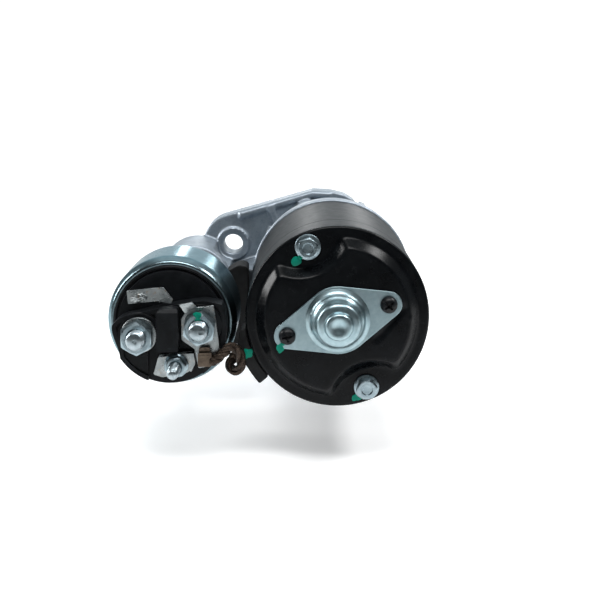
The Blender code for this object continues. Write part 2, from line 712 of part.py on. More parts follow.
def ring_start():
    """Angle of a ring tooth space that takes the first planet's outer tooth."""
    angle = PLANET_ANGLES[0]
    phase = PLANET_TEETH * (angle - planet_start(angle))
    return angle - phase / RING_TEETH


def build_planet_gears():
    for number, angle in enumerate(PLANET_ANGLES):
        centre = polar(PLANET_ORBIT, angle)
        teeth = gear_outline(PLANET_TEETH, MODULE, planet_start(angle), centre=centre)
        gear = prism([teeth, circle(centre, 3.35, 12)], -65.5, -54.5)
        add_part(f"planet_gear_{number + 1}", gear, "ground_steel",
                 pivot=(centre[0], -60.0, centre[1]))
    outer = bitten_disc(34.2, 2.8, 32)
    inner = gear_outline(RING_TEETH, MODULE, ring_start(), internal=True)
    add_part("ring_gear", prism([outer, inner], -66.0, -54.0), "black_plastic")
    plate = add_part("gear_plate", prism([bitten_disc(34.2, 2.8, 36), circle((0.0, 0.0), 8.8, 24)],
                                         -53.7, -42.4), "core_steel")
    cut(plate, rod((0.0, 0.0), 25.6, -55.0, -48.6, 32))


def spline_outline(root_r, crest_r, share, count=6):
    points = []
    pitch = 360.0 / count
    for tooth in range(count):
        middle = pitch * tooth
        half = 0.5 * share * pitch
        points.append(polar(root_r, middle - half - 3.0))
        points += [polar(crest_r, middle - half), polar(crest_r, middle + half)]
        points.append(polar(root_r, middle + half + 3.0))
    return points


def build_output_shaft():
    shaft = add_part("output_shaft", turned([
        (0.0, 47.0), (5.2, 47.0), (6.0, 46.2), (6.0, -18.8), (6.8, -19.3), (6.8, -41.2),
        (8.4, -41.4), (8.4, -49.0), (24.0, -49.0), (24.0, -53.4), (4.3, -53.4),
        (4.3, -44.5), (0.0, -44.0),
    ], steps=20), "ground_steel")
    join(shaft, twisted(spline_outline(6.6, 7.9, 0.42), -41.3, -19.2, HELIX_RAD_PER_MM, 5))
    for angle in PLANET_ANGLES:
        join(shaft, rod(polar(PLANET_ORBIT, angle), 3.0, -65.8, -50.0, 12))
    add_part("stop_ring", tube((0.0, 0.0), 6.25, 9.4, 22.6, 26.0, 24), "core_steel")
    add_part("front_bush", tube((0.0, 0.0), 6.25, 8.0, 36.0, 46.0, 24), "sintered_bronze")
    add_part("rear_bush", tube((0.0, 0.0), 5.1, 7.1, -163.0, -153.6, 24), "sintered_bronze")


def build_drive():
    add_part("shift_collar", turned([
        (9.9, -41.1), (13.4, -41.1), (13.4, -40.2), (11.0, -40.2), (11.0, -34.3),
        (13.4, -34.3), (13.4, -30.6), (9.9, -30.6),
    ], steps=20), "black_plastic", pivot=(0.0, COLLAR_Y, 0.0))

    clutch = add_part("clutch", turned([
        (0.0, -10.0), (16.5, -10.0), (17.5, -11.0), (17.5, -29.0), (16.5, -30.2), (9.6, -30.2),
        (9.6, -40.6), (0.0, -40.6),
    ], steps=24), "core_steel", pivot=(0.0, COLLAR_Y, 0.0))
    cut(clutch, twisted(spline_outline(7.3, 8.4, 0.54), -41.5, -18.5, HELIX_RAD_PER_MM, 5))
    cut(clutch, rod((0.0, 0.0), 9.45, -19.0, -9.0, 24))

    teeth = gear_outline(PINION_TEETH, PINION_MODULE, 9.0, addendum=1.0, dedendum=1.1, thinning=0.2,
                         flank_steps=2)
    pinion = add_part("pinion", prism(teeth, -6.0, 9.0), "ground_steel",
                      pivot=(0.0, COLLAR_Y, 0.0))
    join(pinion, rod((0.0, 0.0), 9.1, -18.6, -5.0, 24))
    join(pinion, rod((0.0, 0.0), 13.2, -8.4, -5.8, 28))
    cut(pinion, rod((0.0, 0.0), 6.35, -25.0, 10.0, 20))


def build_lever():
    pivot = (PIVOT_XY[0], PIVOT_XY[1], SOL[1])
    bar = box(pivot[0] - PLUNGER_ARM, -15.5, pivot[1] - 3.0, pivot[1] + 3.0, -6.0, -1.0)
    lever = add_part("fork_lever", turn_mesh(bar, REST_TILT, "Z", pivot), "black_plastic", pivot)
    boss = upright_rod(PIVOT_XY[0], PIVOT_XY[1], 5.2, -6.0, -1.0, 24)
    toe = upright_rod(pivot[0] - PLUNGER_ARM, pivot[1], 4.0, -6.0, -1.0, 20)
    fork = prism(sector(14.1, 17.4, 84.0, 276.0, 10), pivot[1] - 2.4, pivot[1] + 2.4)
    pads = [box(-2.2, 1.6, pivot[1] - 2.0, pivot[1] + 2.0, z0, z1)
            for z0, z1 in ((11.4, 15.0), (-15.0, -11.4))]
    join(lever, boss, *(turn_mesh(m, REST_TILT, "Z", pivot) for m in (toe, fork, *pads)))
    cut(lever, upright_rod(PIVOT_XY[0], PIVOT_XY[1], 2.8, -7.0, 0.0))
    add_part("lever_pin", upright_rod(PIVOT_XY[0], PIVOT_XY[1], 2.45, -14.6, 3.6), "ground_steel")
    seal = prism([(-52.5, -25.0), (-41.6, -25.0), (-41.6, 8.0), (-46.0, 9.0), (-52.5, 5.5)],
                 -74.0, -56.3)
    add_part("lever_seal", seal, "black_rubber")


def build_plunger():
    plunger = add_part("plunger", turned([
        (0.0, -20.4), (6.0, -20.4), (6.0, -64.0), (10.2, -64.6), (10.2, -86.0), (13.8, -86.0),
        (13.8, -88.0), (10.2, -88.0), (10.2, -117.0), (9.6, -117.6), (2.5, -117.6),
        (2.5, -133.8), (0.0, -133.8),
    ], SOL, 24), "ground_steel", pivot=(SOL[0], -88.0, SOL[1]))
    cut(plunger, box(SOL[0] - 8.0, SOL[0] + 8.0, -29.9, -21.3, -6.5, -0.5))

    turns, per_turn, radius = 5.5, 8, 12.3
    path = []
    for i in range(round(turns * per_turn) + 1):
        x, z = polar(radius, 360.0 * i / per_turn, SOL)
        path.append((x, -111.9 + 22.8 * i / (turns * per_turn), z))
    add_part("return_spring", wire(path, 0.8, 0), "spring_steel")

    bar = turned_outline(rectangle(-15.8, 15.8, -5.0, 5.0), STUD_TILT)
    bridge = add_part("contact_bridge", prism([(x + SOL[0], z + SOL[1]) for x, z in bar],
                                              -151.0, -149.0), "copper",
                      pivot=(SOL[0], -150.0, SOL[1]))
    join(bridge, rod(SOL, 3.0, -149.5, -142.0, 20))


def build_all():
    build_housing()
    build_motor_shell()
    build_rear_cover()
    build_shaft_cap()
    build_through_bolts()
    build_solenoid_can()
    build_solenoid_cap()
    build_terminals()
    build_lead()
    build_armature()
    build_brush_gear()
    build_planet_gears()
    build_output_shaft()
    build_drive()
    build_lever()
    build_plunger()


build_all()
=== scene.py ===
"""Starter motor seen from its terminal end: the looks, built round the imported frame.

Sizes are in millimetres in the frame's axes, and MM turns them into metres. A plane
outline is a list of (x, z) points, and a turned profile a list of (radius, y) points.
"""

import json
import math
import random

import bmesh
import bpy
from mathutils import Matrix, Vector, noise


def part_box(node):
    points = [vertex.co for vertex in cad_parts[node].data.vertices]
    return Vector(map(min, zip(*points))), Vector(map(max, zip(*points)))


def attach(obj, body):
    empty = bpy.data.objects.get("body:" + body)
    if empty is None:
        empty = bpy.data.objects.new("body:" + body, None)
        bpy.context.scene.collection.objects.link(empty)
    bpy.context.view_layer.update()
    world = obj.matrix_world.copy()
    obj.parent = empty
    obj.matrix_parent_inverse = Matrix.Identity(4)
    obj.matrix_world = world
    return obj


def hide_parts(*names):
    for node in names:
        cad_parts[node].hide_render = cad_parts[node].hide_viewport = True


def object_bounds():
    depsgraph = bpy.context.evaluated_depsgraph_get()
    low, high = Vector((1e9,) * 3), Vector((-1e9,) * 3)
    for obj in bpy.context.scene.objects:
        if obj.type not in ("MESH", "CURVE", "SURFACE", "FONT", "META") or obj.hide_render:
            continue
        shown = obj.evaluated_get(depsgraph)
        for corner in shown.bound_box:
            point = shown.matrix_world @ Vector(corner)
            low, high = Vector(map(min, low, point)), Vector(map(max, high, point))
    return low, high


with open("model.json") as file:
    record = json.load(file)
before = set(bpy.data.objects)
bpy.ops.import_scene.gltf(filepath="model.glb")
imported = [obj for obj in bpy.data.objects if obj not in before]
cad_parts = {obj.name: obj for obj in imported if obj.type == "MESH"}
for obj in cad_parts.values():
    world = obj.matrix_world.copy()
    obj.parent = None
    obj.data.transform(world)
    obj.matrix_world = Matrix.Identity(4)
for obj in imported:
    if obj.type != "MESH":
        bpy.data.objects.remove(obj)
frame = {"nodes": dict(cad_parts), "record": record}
CAD_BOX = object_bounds()

MM = 0.001
ORIGIN = (0.0, 0.0)
SOL = (-71.1, -3.5)
BATTERY = (-83.3, -6.3)
MOTOR = (-57.6, -2.6)
CONTROL = (-67.7, -18.9)
BOLTS = {"upper": 112.6, "lower": 292.6}
BOLT_R = 32.6
CAP_SCREWS = {"left": 197.5, "right": 17.5}
CAP_SCREW_R = 22.2
SOL_SCREWS = {"left": 165.0, "lower": 285.0}
SOL_SCREW_R = 21.7
HOLE_1 = (-52.0, 11.5)
HOLE_2 = (22.0, -48.5)
WINDOW_ANGLE = 50.0


# ---------------- plane helpers
def polar(radius, degrees, centre=ORIGIN):
    angle = math.radians(degrees)
    return (centre[0] + radius * math.cos(angle), centre[1] + radius * math.sin(angle))


def circle(centre, radius, count=48, start=0.0):
    return [polar(radius, start + 360.0 * i / count, centre) for i in range(count)]


def rotated(points, degrees, centre=ORIGIN):
    c, s = math.cos(math.radians(degrees)), math.sin(math.radians(degrees))
    moved = [(x - centre[0], z - centre[1]) for x, z in points]
    return [(centre[0] + c * x - s * z, centre[1] + s * x + c * z) for x, z in moved]


def shifted(points, offset):
    return [(x + offset[0], z + offset[1]) for x, z in points]


def cross(a, b, c):
    return (b[0] - a[0]) * (c[1] - a[1]) - (b[1] - a[1]) * (c[0] - a[0])


def hull(points):
    ordered = sorted(set((round(x, 5), round(z, 5)) for x, z in points))

    def chain(sequence):
        line = []
        for p in sequence:
            while len(line) > 1 and cross(line[-2], line[-1], p) <= 1e-9:
                line.pop()
            line.append(p)
        return line[:-1]

    return chain(ordered) + chain(ordered[::-1])


def rounded(points, radius, steps=4):
    """Outline with its corners rounded; radius is one number or one for each corner."""
    count = len(points)
    radii = radius if isinstance(radius, (list, tuple)) else [radius] * count
    result = []
    for i, (here, size) in enumerate(zip(points, radii)):
        p = Vector(here)
        before = Vector(points[i - 1]) - p
        after = Vector(points[(i + 1) % count]) - p
        reach = min(size, 0.45 * before.length, 0.45 * after.length)
        a = p + before.normalized() * reach
        b = p + after.normalized() * reach
        for k in range(steps + 1):
            t = k / steps
            q = a * (1 - t) ** 2 + p * 2 * t * (1 - t) + b * t**2
            result.append((q.x, q.y))
    return result


def smoothstep(low, high, value):
    t = min(1.0, max(0.0, (value - low) / (high - low)))
    return t * t * (3.0 - 2.0 * t)


# ---------------- mesh builders
def mesh_from(build):
    mesh = bpy.data.meshes.new("piece")
    work = bmesh.new()
    build(work)
    bmesh.ops.remove_doubles(work, verts=work.verts, dist=0.0005)
    bmesh.ops.recalc_face_normals(work, faces=work.faces)
    work.to_mesh(mesh)
    work.free()
    return mesh


def rings(rows, steps=96, centre=ORIGIN):
    """Solid between rows round a Y line; a row is (y, radius) or (y, radius of angle)."""
    def build(work):
        grid = []
        for y, radius in rows:
            ring = []
            for i in range(steps):
                angle = 2.0 * math.pi * i / steps
                r = radius(angle) if callable(radius) else radius
                level = y(angle) if callable(y) else y
                ring.append(work.verts.new((centre[0] + r * math.cos(angle), level,
                                            centre[1] + r * math.sin(angle))))
            grid.append(ring)
        for low, high in zip(grid, grid[1:] + grid[:1]):
            for i in range(steps):
                k = (i + 1) % steps
                work.faces.new((low[i], low[k], high[k], high[i]))
    return mesh_from(build)


def turned(profile, centre=ORIGIN, steps=96):
    """Turned solid from a closed (radius, y) profile."""
    return rings([(y, max(r, 0.0)) for r, y in profile], steps, centre)


def prism(outlines, y0, y1):
    """Outline, with any holes after it, extruded along Y."""
    if isinstance(outlines[0][0], (int, float)):
        outlines = [outlines]
    curve = bpy.data.curves.new("outline", "CURVE")
    curve.dimensions = "2D"
    curve.fill_mode = "BOTH"
    curve.extrude = 0.5 * (y1 - y0)
    for outline in outlines:
        spline = curve.splines.new("POLY")
        spline.points.add(len(outline) - 1)
        for point, (x, z) in zip(spline.points, outline):
            point.co = (x, z, 0.0, 1.0)
        spline.use_cyclic_u = True
    carrier = bpy.data.objects.new("carrier", curve)
    bpy.context.scene.collection.objects.link(carrier)
    graph = bpy.context.evaluated_depsgraph_get()
    mesh = bpy.data.meshes.new_from_object(carrier.evaluated_get(graph))
    bpy.data.objects.remove(carrier, do_unlink=True)
    mesh.transform(Matrix.Translation((0, 0.5 * (y0 + y1), 0)) @ Matrix.Rotation(math.pi / 2, 4, "X"))
    work = bmesh.new()
    work.from_mesh(mesh)
    bmesh.ops.remove_doubles(work, verts=work.verts, dist=0.0005)
    bmesh.ops.dissolve_limit(work, angle_limit=0.01, verts=work.verts, edges=work.edges)
    bmesh.ops.recalc_face_normals(work, faces=work.faces)
    work.to_mesh(mesh)
    work.free()
    return mesh


def plate(outline, corner_r, y0, y1):
    return prism(rounded(outline, corner_r), y0, y1)


def side_prism(outline, x0, x1):
    """Outline of (y, z) points extruded along X."""
    mesh = prism(outline, x0, x1)
    for vertex in mesh.vertices:
        y, x, z = vertex.co
        vertex.co = (x, y, z)
    mesh.flip_normals()
    return mesh


def drill(radius, y0, y1, centre, steps):
    return turned([(0, y0), (radius, y0), (radius, y1), (0, y1)], centre, steps)


def box(x0, x1, y0, y1, z0, z1):
    return prism([(x0, z0), (x1, z0), (x1, z1), (x0, z1)], y0, y1)


def smooth_path(points, cuts):
    """Catmull-Rom curve through 3-D points."""
    p = [Vector(q) for q in points]
    p = [2.0 * p[0] - p[1]] + p + [2.0 * p[-1] - p[-2]]
    result = []
    for a, b, c, d in zip(p, p[1:], p[2:], p[3:]):
        for i in range(cuts):
            t = i / cuts
            result.append(0.5 * (2.0 * b + (c - a) * t + (2 * a - 5 * b + 4 * c - d) * t**2
                                 + (3 * b - a - 3 * c + d) * t**3))
    return result + [p[-2]]


def path_frames(path):
    """Point, side and up vectors along a path, turned as little as possible."""
    frames = []
    side = None
    for i, point in enumerate(path):
        along = (path[min(i + 1, len(path) - 1)] - path[max(i - 1, 0)]).normalized()
        if side is None:
            side = along.orthogonal().normalized()
        side = (side - along * side.dot(along)).normalized()
        frames.append((point, side, along.cross(side)))
    return frames


def tube(path, radius, sides=16):
    """Closed tube along a path; radius is a number or a function of (index, angle)."""
    def build(work):
        grid = []
        for i, (point, side, up) in enumerate(path_frames(path)):
            ring = []
            for k in range(sides):
                angle = 2.0 * math.pi * k / sides
                r = radius(i, angle) if callable(radius) else radius
                ring.append(work.verts.new(point + (side * math.cos(angle) + up * math.sin(angle)) * r))
            grid.append(ring)
        for low, high in zip(grid, grid[1:]):
            for k in range(sides):
                m = (k + 1) % sides
                work.faces.new((low[k], low[m], high[m], high[k]))
        work.faces.new(grid[0])
        work.faces.new(grid[-1])
    return mesh_from(build)


# ---------------- pieces
BEVEL_FROM = 28.0
BEVELLED_SHARP = 60.0


def piece(name, mesh, material, nodes=(), body="frame", bevel=0.0, angle=35.0):
    """One piece, made in millimetres, that rides on a body and stands for the CAD nodes given."""
    mesh.transform(Matrix.Scale(MM, 4))
    obj = bpy.data.objects.new(name, mesh)
    bpy.context.scene.collection.objects.link(obj)
    mesh.materials.clear()
    mesh.materials.append(material)
    for polygon in mesh.polygons:
        polygon.use_smooth = True
    if bevel:
        modifier = obj.modifiers.new("soft_edges", "BEVEL")
        modifier.width = bevel * MM
        modifier.segments = 3
        modifier.limit_method = "ANGLE"
        modifier.angle_limit = math.radians(BEVEL_FROM)
        modifier.harden_normals = True
    mesh.set_sharp_from_angle(angle=math.radians(BEVELLED_SHARP if bevel else angle))
    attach(obj, body)
    if nodes:
        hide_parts(*([nodes] if isinstance(nodes, str) else nodes))
    return obj


def apply_modifiers(obj):
    graph = bpy.context.evaluated_depsgraph_get()
    mesh = bpy.data.meshes.new_from_object(obj.evaluated_get(graph))
    old = obj.data
    obj.modifiers.clear()
    obj.data = mesh
    bpy.data.meshes.remove(old)


def solid(mesh):
    """Bare object in millimetres for shaping before it becomes a piece."""
    obj = bpy.data.objects.new("solid", mesh)
    bpy.context.scene.collection.objects.link(obj)
    return obj


def cut(obj, *tools, operation="DIFFERENCE"):
    for mesh in tools:
        tool = solid(mesh)
        modifier = obj.modifiers.new("cut", "BOOLEAN")
        modifier.operation = operation
        modifier.solver = "EXACT"
        modifier.object = tool
        apply_modifiers(obj)
        bpy.data.objects.remove(tool, do_unlink=True)
    return obj


def add(obj, *tools):
    return cut(obj, *tools, operation="UNION")


def take_mesh(obj):
    """Mesh of a bare solid, whose object is removed."""
    mesh = obj.data.copy()
    bpy.data.objects.remove(obj, do_unlink=True)
    return mesh


# ---------------- materials
RANGE_INPUTS = ("From Min", "From Max", "To Min", "To Max")


def ranged(tree, value, *limits):
    """Map a value from one range to another: low, high, low after, high after."""
    node = tree.nodes.new("ShaderNodeMapRange")
    tree.links.new(value, node.inputs["Value"])
    for key, number in zip(RANGE_INPUTS, limits):
        node.inputs[key].default_value = number
    return node.outputs[0]


def calculated(tree, operation, *values):
    """Math node in a tree, fed with sockets or numbers."""
    node = tree.nodes.new("ShaderNodeMath")
    node.operation = operation
    for target, value in zip(node.inputs, values):
        if isinstance(value, bpy.types.NodeSocket):
            tree.links.new(value, target)
        else:
            target.default_value = value
    return node.outputs[0]


class Surface:
    """One procedural material: a Principled shader and short calls that wire nodes to it."""

    def __init__(self, name, metallic=0.0, specular=0.5):
        self.material = bpy.data.materials.new("look." + name)
        self.material["slot"] = name.split(".")[0]
        self.material.use_nodes = True
        self.tree = self.material.node_tree
        self.shader = self.tree.nodes["Principled BSDF"]
        self.shader.inputs["Metallic"].default_value = metallic
        self.shader.inputs["Specular IOR Level"].default_value = specular
        self.coords = self.node("ShaderNodeTexCoord").outputs["Object"]
        self.normal = None

    def node(self, kind, **settings):
        node = self.tree.nodes.new(kind)
        for key, value in settings.items():
            setattr(node, key, value)
        return node

    def wire(self, target, value):
        if isinstance(value, bpy.types.NodeSocket):
            self.tree.links.new(value, target)
        else:
            target.default_value = value

    def math(self, operation, *values):
        return calculated(self.tree, operation, *values)

    def noise(self, size_mm, detail=3.0, roughness=0.55, coords=None, stretch=(1, 1, 1)):
        """Noise whose blobs are about size_mm across, from 0 to 1."""
        mapping = self.node("ShaderNodeMapping")
        self.wire(mapping.inputs["Vector"], coords or self.coords)
        scale = 1.0 / (size_mm * MM)
        mapping.inputs["Scale"].default_value = [scale / s for s in stretch]
        noise_node = self.node("ShaderNodeTexNoise")
        noise_node.inputs["Scale"].default_value = 1.0
        noise_node.inputs["Detail"].default_value = detail
        noise_node.inputs["Roughness"].default_value = roughness
        self.wire(noise_node.inputs["Vector"], mapping.outputs[0])
        return noise_node.outputs["Fac"]

    def cells(self, size_mm):
        node = self.node("ShaderNodeTexVoronoi")
        node.inputs["Scale"].default_value = 1.0 / (size_mm * MM)
        self.wire(node.inputs["Vector"], self.coords)
        return node.outputs["Distance"]

    def remap(self, value, low, high, to_low=0.0, to_high=1.0):
        return ranged(self.tree, value, low, high, to_low, to_high)

    def blend(self, amount, low, high):
        node = self.node("ShaderNodeMix", data_type="RGBA")
        self.wire(node.inputs["Factor"], amount)
        self.wire(node.inputs["A"], low if isinstance(low, bpy.types.NodeSocket) else (*low, 1.0))
        self.wire(node.inputs["B"], high if isinstance(high, bpy.types.NodeSocket) else (*high, 1.0))
        return node.outputs["Result"]

    def around(self, centre=ORIGIN):
        """Coordinates (radius, y, 0) round a Y line, for lathe marks."""
        move = self.node("ShaderNodeVectorMath", operation="SUBTRACT")
        self.wire(move.inputs[0], self.coords)
        move.inputs[1].default_value = (centre[0] * MM, 0.0, centre[1] * MM)
        split = self.node("ShaderNodeSeparateXYZ")
        self.wire(split.inputs[0], move.outputs[0])
        squares = self.math("ADD", self.math("POWER", split.outputs["X"], 2.0),
                            self.math("POWER", split.outputs["Z"], 2.0))
        join = self.node("ShaderNodeCombineXYZ")
        self.wire(join.inputs["X"], self.math("SQRT", squares))
        self.wire(join.inputs["Y"], split.outputs["Y"])
        return join.outputs[0]

    def bump(self, height, depth_mm):
        node = self.node("ShaderNodeBump")
        node.inputs["Strength"].default_value = 1.0
        node.inputs["Distance"].default_value = depth_mm * MM
        self.wire(node.inputs["Height"], height)
        if self.normal is not None:
            self.wire(node.inputs["Normal"], self.normal)
        self.normal = node.outputs["Normal"]

    def occlusion_shade(self, reach_mm=3.0):
        """Ambient occlusion for painted shade: close to 0 in corners and 1 on open faces."""
        node = self.node("ShaderNodeAmbientOcclusion", samples=8)
        node.inputs["Distance"].default_value = reach_mm * MM
        return node.outputs["AO"]

    def finish(self, colour, roughness):
        self.wire(self.shader.inputs["Base Color"], colour)
        self.wire(self.shader.inputs["Roughness"], roughness)
        if self.normal is not None:
            self.wire(self.shader.inputs["Normal"], self.normal)
        return self.material


def gloss_paint(name, level=1.0, peel=0.012, rough=(0.24, 0.4), specks=0.5, specular=0.2):
    """Black stove paint: soft orange peel, faint dust and a few pale specks."""
    s = Surface(name, specular=specular)
    dust = s.remap(s.noise(9.0, 5.0, 0.6), 0.35, 0.75)
    colour = s.blend(dust, [0.0022 * level, 0.0027 * level, 0.0034 * level],
                     [0.0065 * level, 0.0076 * level, 0.0088 * level])
    grain = s.remap(s.cells(0.9), 0.0, 0.09, specks, 0.0)
    lone = s.remap(s.noise(3.0, 1.0), 0.6, 0.68)
    colour = s.blend(s.math("MULTIPLY", grain, lone), colour, [0.12, 0.13, 0.14])
    s.bump(s.noise(2.2, 2.0), peel * 2.0)
    s.bump(s.noise(0.55, 2.0), peel * 0.35)
    return s.finish(colour, s.remap(s.noise(4.0, 5.0, 0.65), 0.3, 0.7, *rough))


def moulded_plastic(name, dark, light, rough=(0.38, 0.58), grain_mm=0.35, depth=0.006):
    """Glass-filled moulding: fine grain, flow patches and scuffs."""
    s = Surface(name, specular=0.1)
    colour = s.blend(s.remap(s.noise(5.0, 5.0, 0.6), 0.3, 0.72), dark, light)
    scuff = s.remap(s.noise(0.7, 3.0, 0.6, stretch=(6, 1, 2)), 0.66, 0.76, 0.0, 0.55)
    colour = s.blend(scuff, colour, [c * 2.6 for c in light])
    s.bump(s.noise(grain_mm, 3.0), depth)
    s.bump(s.noise(4.0, 1.0), 0.03)
    return s.finish(colour, s.remap(s.noise(2.0, 4.0), 0.3, 0.7, *rough))


def bright_metal(name, dark, light, rough=(0.2, 0.38), centre=None, ring_mm=0.12, ring_depth=0.004,
                 stain=None, edge=(1.0, 1.0, 1.0)):
    """Plated or ground metal with lathe marks round centre, haze patches and optional stains."""
    s = Surface(name, metallic=1.0)
    s.shader.inputs["Specular Tint"].default_value = (*edge, 1.0)
    patches = s.remap(s.noise(3.5, 5.0, 0.62), 0.3, 0.7)
    colour = s.blend(patches, dark, light)
    if stain:
        spots = s.remap(s.noise(1.8, 4.0, 0.6), 0.6, 0.7, 0.0, 0.7)
        colour = s.blend(spots, colour, stain)
    if centre is not None:
        marks = s.noise(ring_mm, 2.0, 0.6, coords=s.around(centre))
        s.bump(marks, ring_depth)
    s.bump(s.noise(0.5, 3.0), 0.003)
    return s.finish(colour, s.remap(s.noise(1.6, 5.0, 0.65), 0.3, 0.72, *rough))


def cast_metal(name, dark, light):
    """Shot-blasted casting: pebbled skin, cloudy tone and painted shade darkening its corners."""
    s = Surface(name, metallic=1.0)
    cloud = s.remap(s.noise(7.0, 6.0, 0.65), 0.28, 0.72)
    colour = s.blend(cloud, dark, light)
    pits = s.remap(s.cells(1.1), 0.0, 0.25, 0.45, 0.0)
    colour = s.blend(pits, colour, [c * 0.45 for c in dark])
    # painted shade: ambient occlusion darkens the casting towards its corners and recesses
    corner = s.remap(s.occlusion_shade(5.0), 0.35, 0.85, 0.75, 0.0)
    colour = s.blend(corner, colour, [c * 0.22 for c in dark])
    s.bump(s.noise(0.55, 4.0, 0.6), 0.05)
    s.bump(s.noise(3.0, 2.0), 0.11)
    return s.finish(colour, s.remap(s.noise(1.2, 4.0), 0.3, 0.7, 0.42, 0.62))


def soft_rubber(name):
    """Matt black rubber with a pale bloom."""
    s = Surface(name, specular=0.2)
    bloom = s.remap(s.noise(3.0, 5.0, 0.65), 0.35, 0.75)
    colour = s.blend(bloom, [0.004] * 3, [0.011, 0.012, 0.013])
    s.bump(s.noise(0.4, 4.0), 0.008)
    return s.finish(colour, s.remap(s.noise(1.5, 3.0), 0.3, 0.7, 0.55, 0.78))


def woven_copper(name):
    """Dark oxidised copper wires: fine cross-laid ridges with bright rubbed crests."""
    s = Surface(name, metallic=0.85)
    wires = s.noise(0.22, 2.0, 0.5, stretch=(1, 3, 1))
    crest = s.remap(wires, 0.52, 0.66)
    colour = s.blend(crest, [0.018, 0.013, 0.010], [0.14, 0.10, 0.075])
    s.bump(wires, 0.09)
    return s.finish(colour, s.remap(s.noise(1.0, 3.0), 0.3, 0.7, 0.38, 0.6))


def marking_paint(name):
    """Thin green paint, patchy where it was dabbed on."""
    s = Surface(name, specular=0.15)
    colour = s.blend(s.noise(0.8, 3.0), [0.0, 0.13, 0.085], [0.0, 0.27, 0.18])
    s.bump(s.noise(0.6, 3.0), 0.03)
    return s.finish(colour, s.remap(s.noise(0.6, 3.0), 0.3, 0.7, 0.3, 0.5))


PAINT = gloss_paint("black_paint", 1.6, 0.0012, (0.44, 0.52), 0.2, 0.065)
COVER = gloss_paint("black_paint.cover", 0.9, 0.003, (0.2, 0.3), 0.5, 0.1)
BLACK_STEEL = gloss_paint("black_steel", 1.25, 0.01, (0.28, 0.46), 0.3)
PLASTIC = moulded_plastic("black_plastic", [0.0035, 0.0042, 0.005], [0.009, 0.0105, 0.012], (0.3, 0.45))
RUBBER = soft_rubber("black_rubber")
ZINC = bright_metal("bright_zinc", [0.20, 0.26, 0.29], [0.31, 0.38, 0.41], (0.24, 0.4))
CAN = bright_metal("bright_zinc.can", [0.15, 0.21, 0.235], [0.21, 0.28, 0.305], (0.2, 0.27), SOL,
                   ring_depth=0.0008, edge=(0.5, 0.6, 0.64))
CAP_ZINC = bright_metal("bright_zinc.cap", [0.23, 0.32, 0.35], [0.33, 0.43, 0.46], (0.28, 0.42), ORIGIN)
TIN = bright_metal("tinned_copper", [0.21, 0.235, 0.24], [0.36, 0.385, 0.39], (0.22, 0.42),
                   stain=[0.30, 0.24, 0.18])
COPPER = bright_metal("copper", [0.36, 0.21, 0.13], [0.62, 0.40, 0.26], (0.3, 0.5),
                      stain=[0.12, 0.07, 0.04])
CRIMP = bright_metal("copper.crimp", [0.065, 0.05, 0.04], [0.14, 0.11, 0.085], (0.35, 0.55),
                     stain=[0.05, 0.035, 0.025])
BRAID = woven_copper("braided_copper")
STUD_STEEL = bright_metal("bright_zinc.stud", [0.22, 0.27, 0.29], [0.37, 0.42, 0.45], (0.25, 0.42))
GROUND = bright_metal("ground_steel", [0.34, 0.34, 0.34], [0.56, 0.56, 0.55], (0.22, 0.4), ORIGIN,
                      stain=[0.2, 0.17, 0.14])
CAST = cast_metal("cast_aluminium", [0.24, 0.275, 0.31], [0.37, 0.42, 0.47])
GREEN = marking_paint("black_paint.mark")
NODE_FINISH = {finish["slot"]: finish for finish in (
    PAINT, PLASTIC, RUBBER, ZINC, BLACK_STEEL, TIN, COPPER, BRAID, GROUND, CAST,
    moulded_plastic("magnet_ferrite", [0.03, 0.03, 0.032], [0.06, 0.06, 0.064], (0.4, 0.6)),
    bright_metal("core_steel", [0.20, 0.20, 0.21], [0.36, 0.36, 0.36], (0.34, 0.55), ORIGIN),
    moulded_plastic("winding_varnish", [0.16, 0.045, 0.012], [0.36, 0.12, 0.04], (0.18, 0.34), 0.9, 0.12),
    moulded_plastic("carbon_brush", [0.018, 0.018, 0.02], [0.04, 0.04, 0.042], (0.45, 0.65)),
    bright_metal("sintered_bronze", [0.30, 0.20, 0.09], [0.48, 0.34, 0.18], (0.4, 0.6)),
    bright_metal("spring_steel", [0.24, 0.24, 0.25], [0.42, 0.42, 0.42], (0.25, 0.4)),
)}


def dress_cad_nodes():
    """Give every CAD node the procedural finish of its slot."""
    slots = {p["node"]: p["material_slot"] for p in frame["record"]["subparts"]}
    for name, obj in frame["nodes"].items():
        for polygon in obj.data.polygons:
            polygon.use_smooth = True
        obj.data.set_sharp_from_angle(angle=math.radians(32.0))
        finish = NODE_FINISH[slots[name]]
        if not obj.material_slots:
            obj.data.materials.append(finish)
        for material_slot in obj.material_slots:
            material_slot.material = finish


# ---------------- motor shell
COVER_R = 39.0
COVER_RING_Y = -160.0
COVER_TOP_Y = -165.0
PLATEAU_R = 33.4
SCALLOP_R = 19.0
SCALLOP_AT = 42.4
TROUGH_AT = (22.0, -1.6)
TROUGH_TURN = 51.0
DIMPLE_AT = (31.6, 0.3)
CROSS_TURNS = {"left": 12.0, "right": 40.0}
BOLT_TURNS = {"upper": 20.0, "lower": 8.0}
FACE_INSET = 0.3
CHAMFER = 28.0


def ramp(low, high, value, soft=0.24):
    """Straight slope from 0 to 1 whose two ends are rounded over a share of its run."""
    t = min(1.0, max(0.0, (value - low) / (high - low)))
    if t > 0.5:
        return 1.0 - ramp(0.0, 1.0, 1.0 - t, soft)
    scale = 1.0 / (1.0 - soft)
    return scale * (t * t / (2.0 * soft) if t < soft else t - 0.5 * soft)


def soft_least(a, b, width):
    """Smaller of two distances, with the corner between them rounded over a width."""
    overlap = max(0.0, width - abs(a - b)) / width
    return min(a, b) - overlap * overlap * width * 0.25


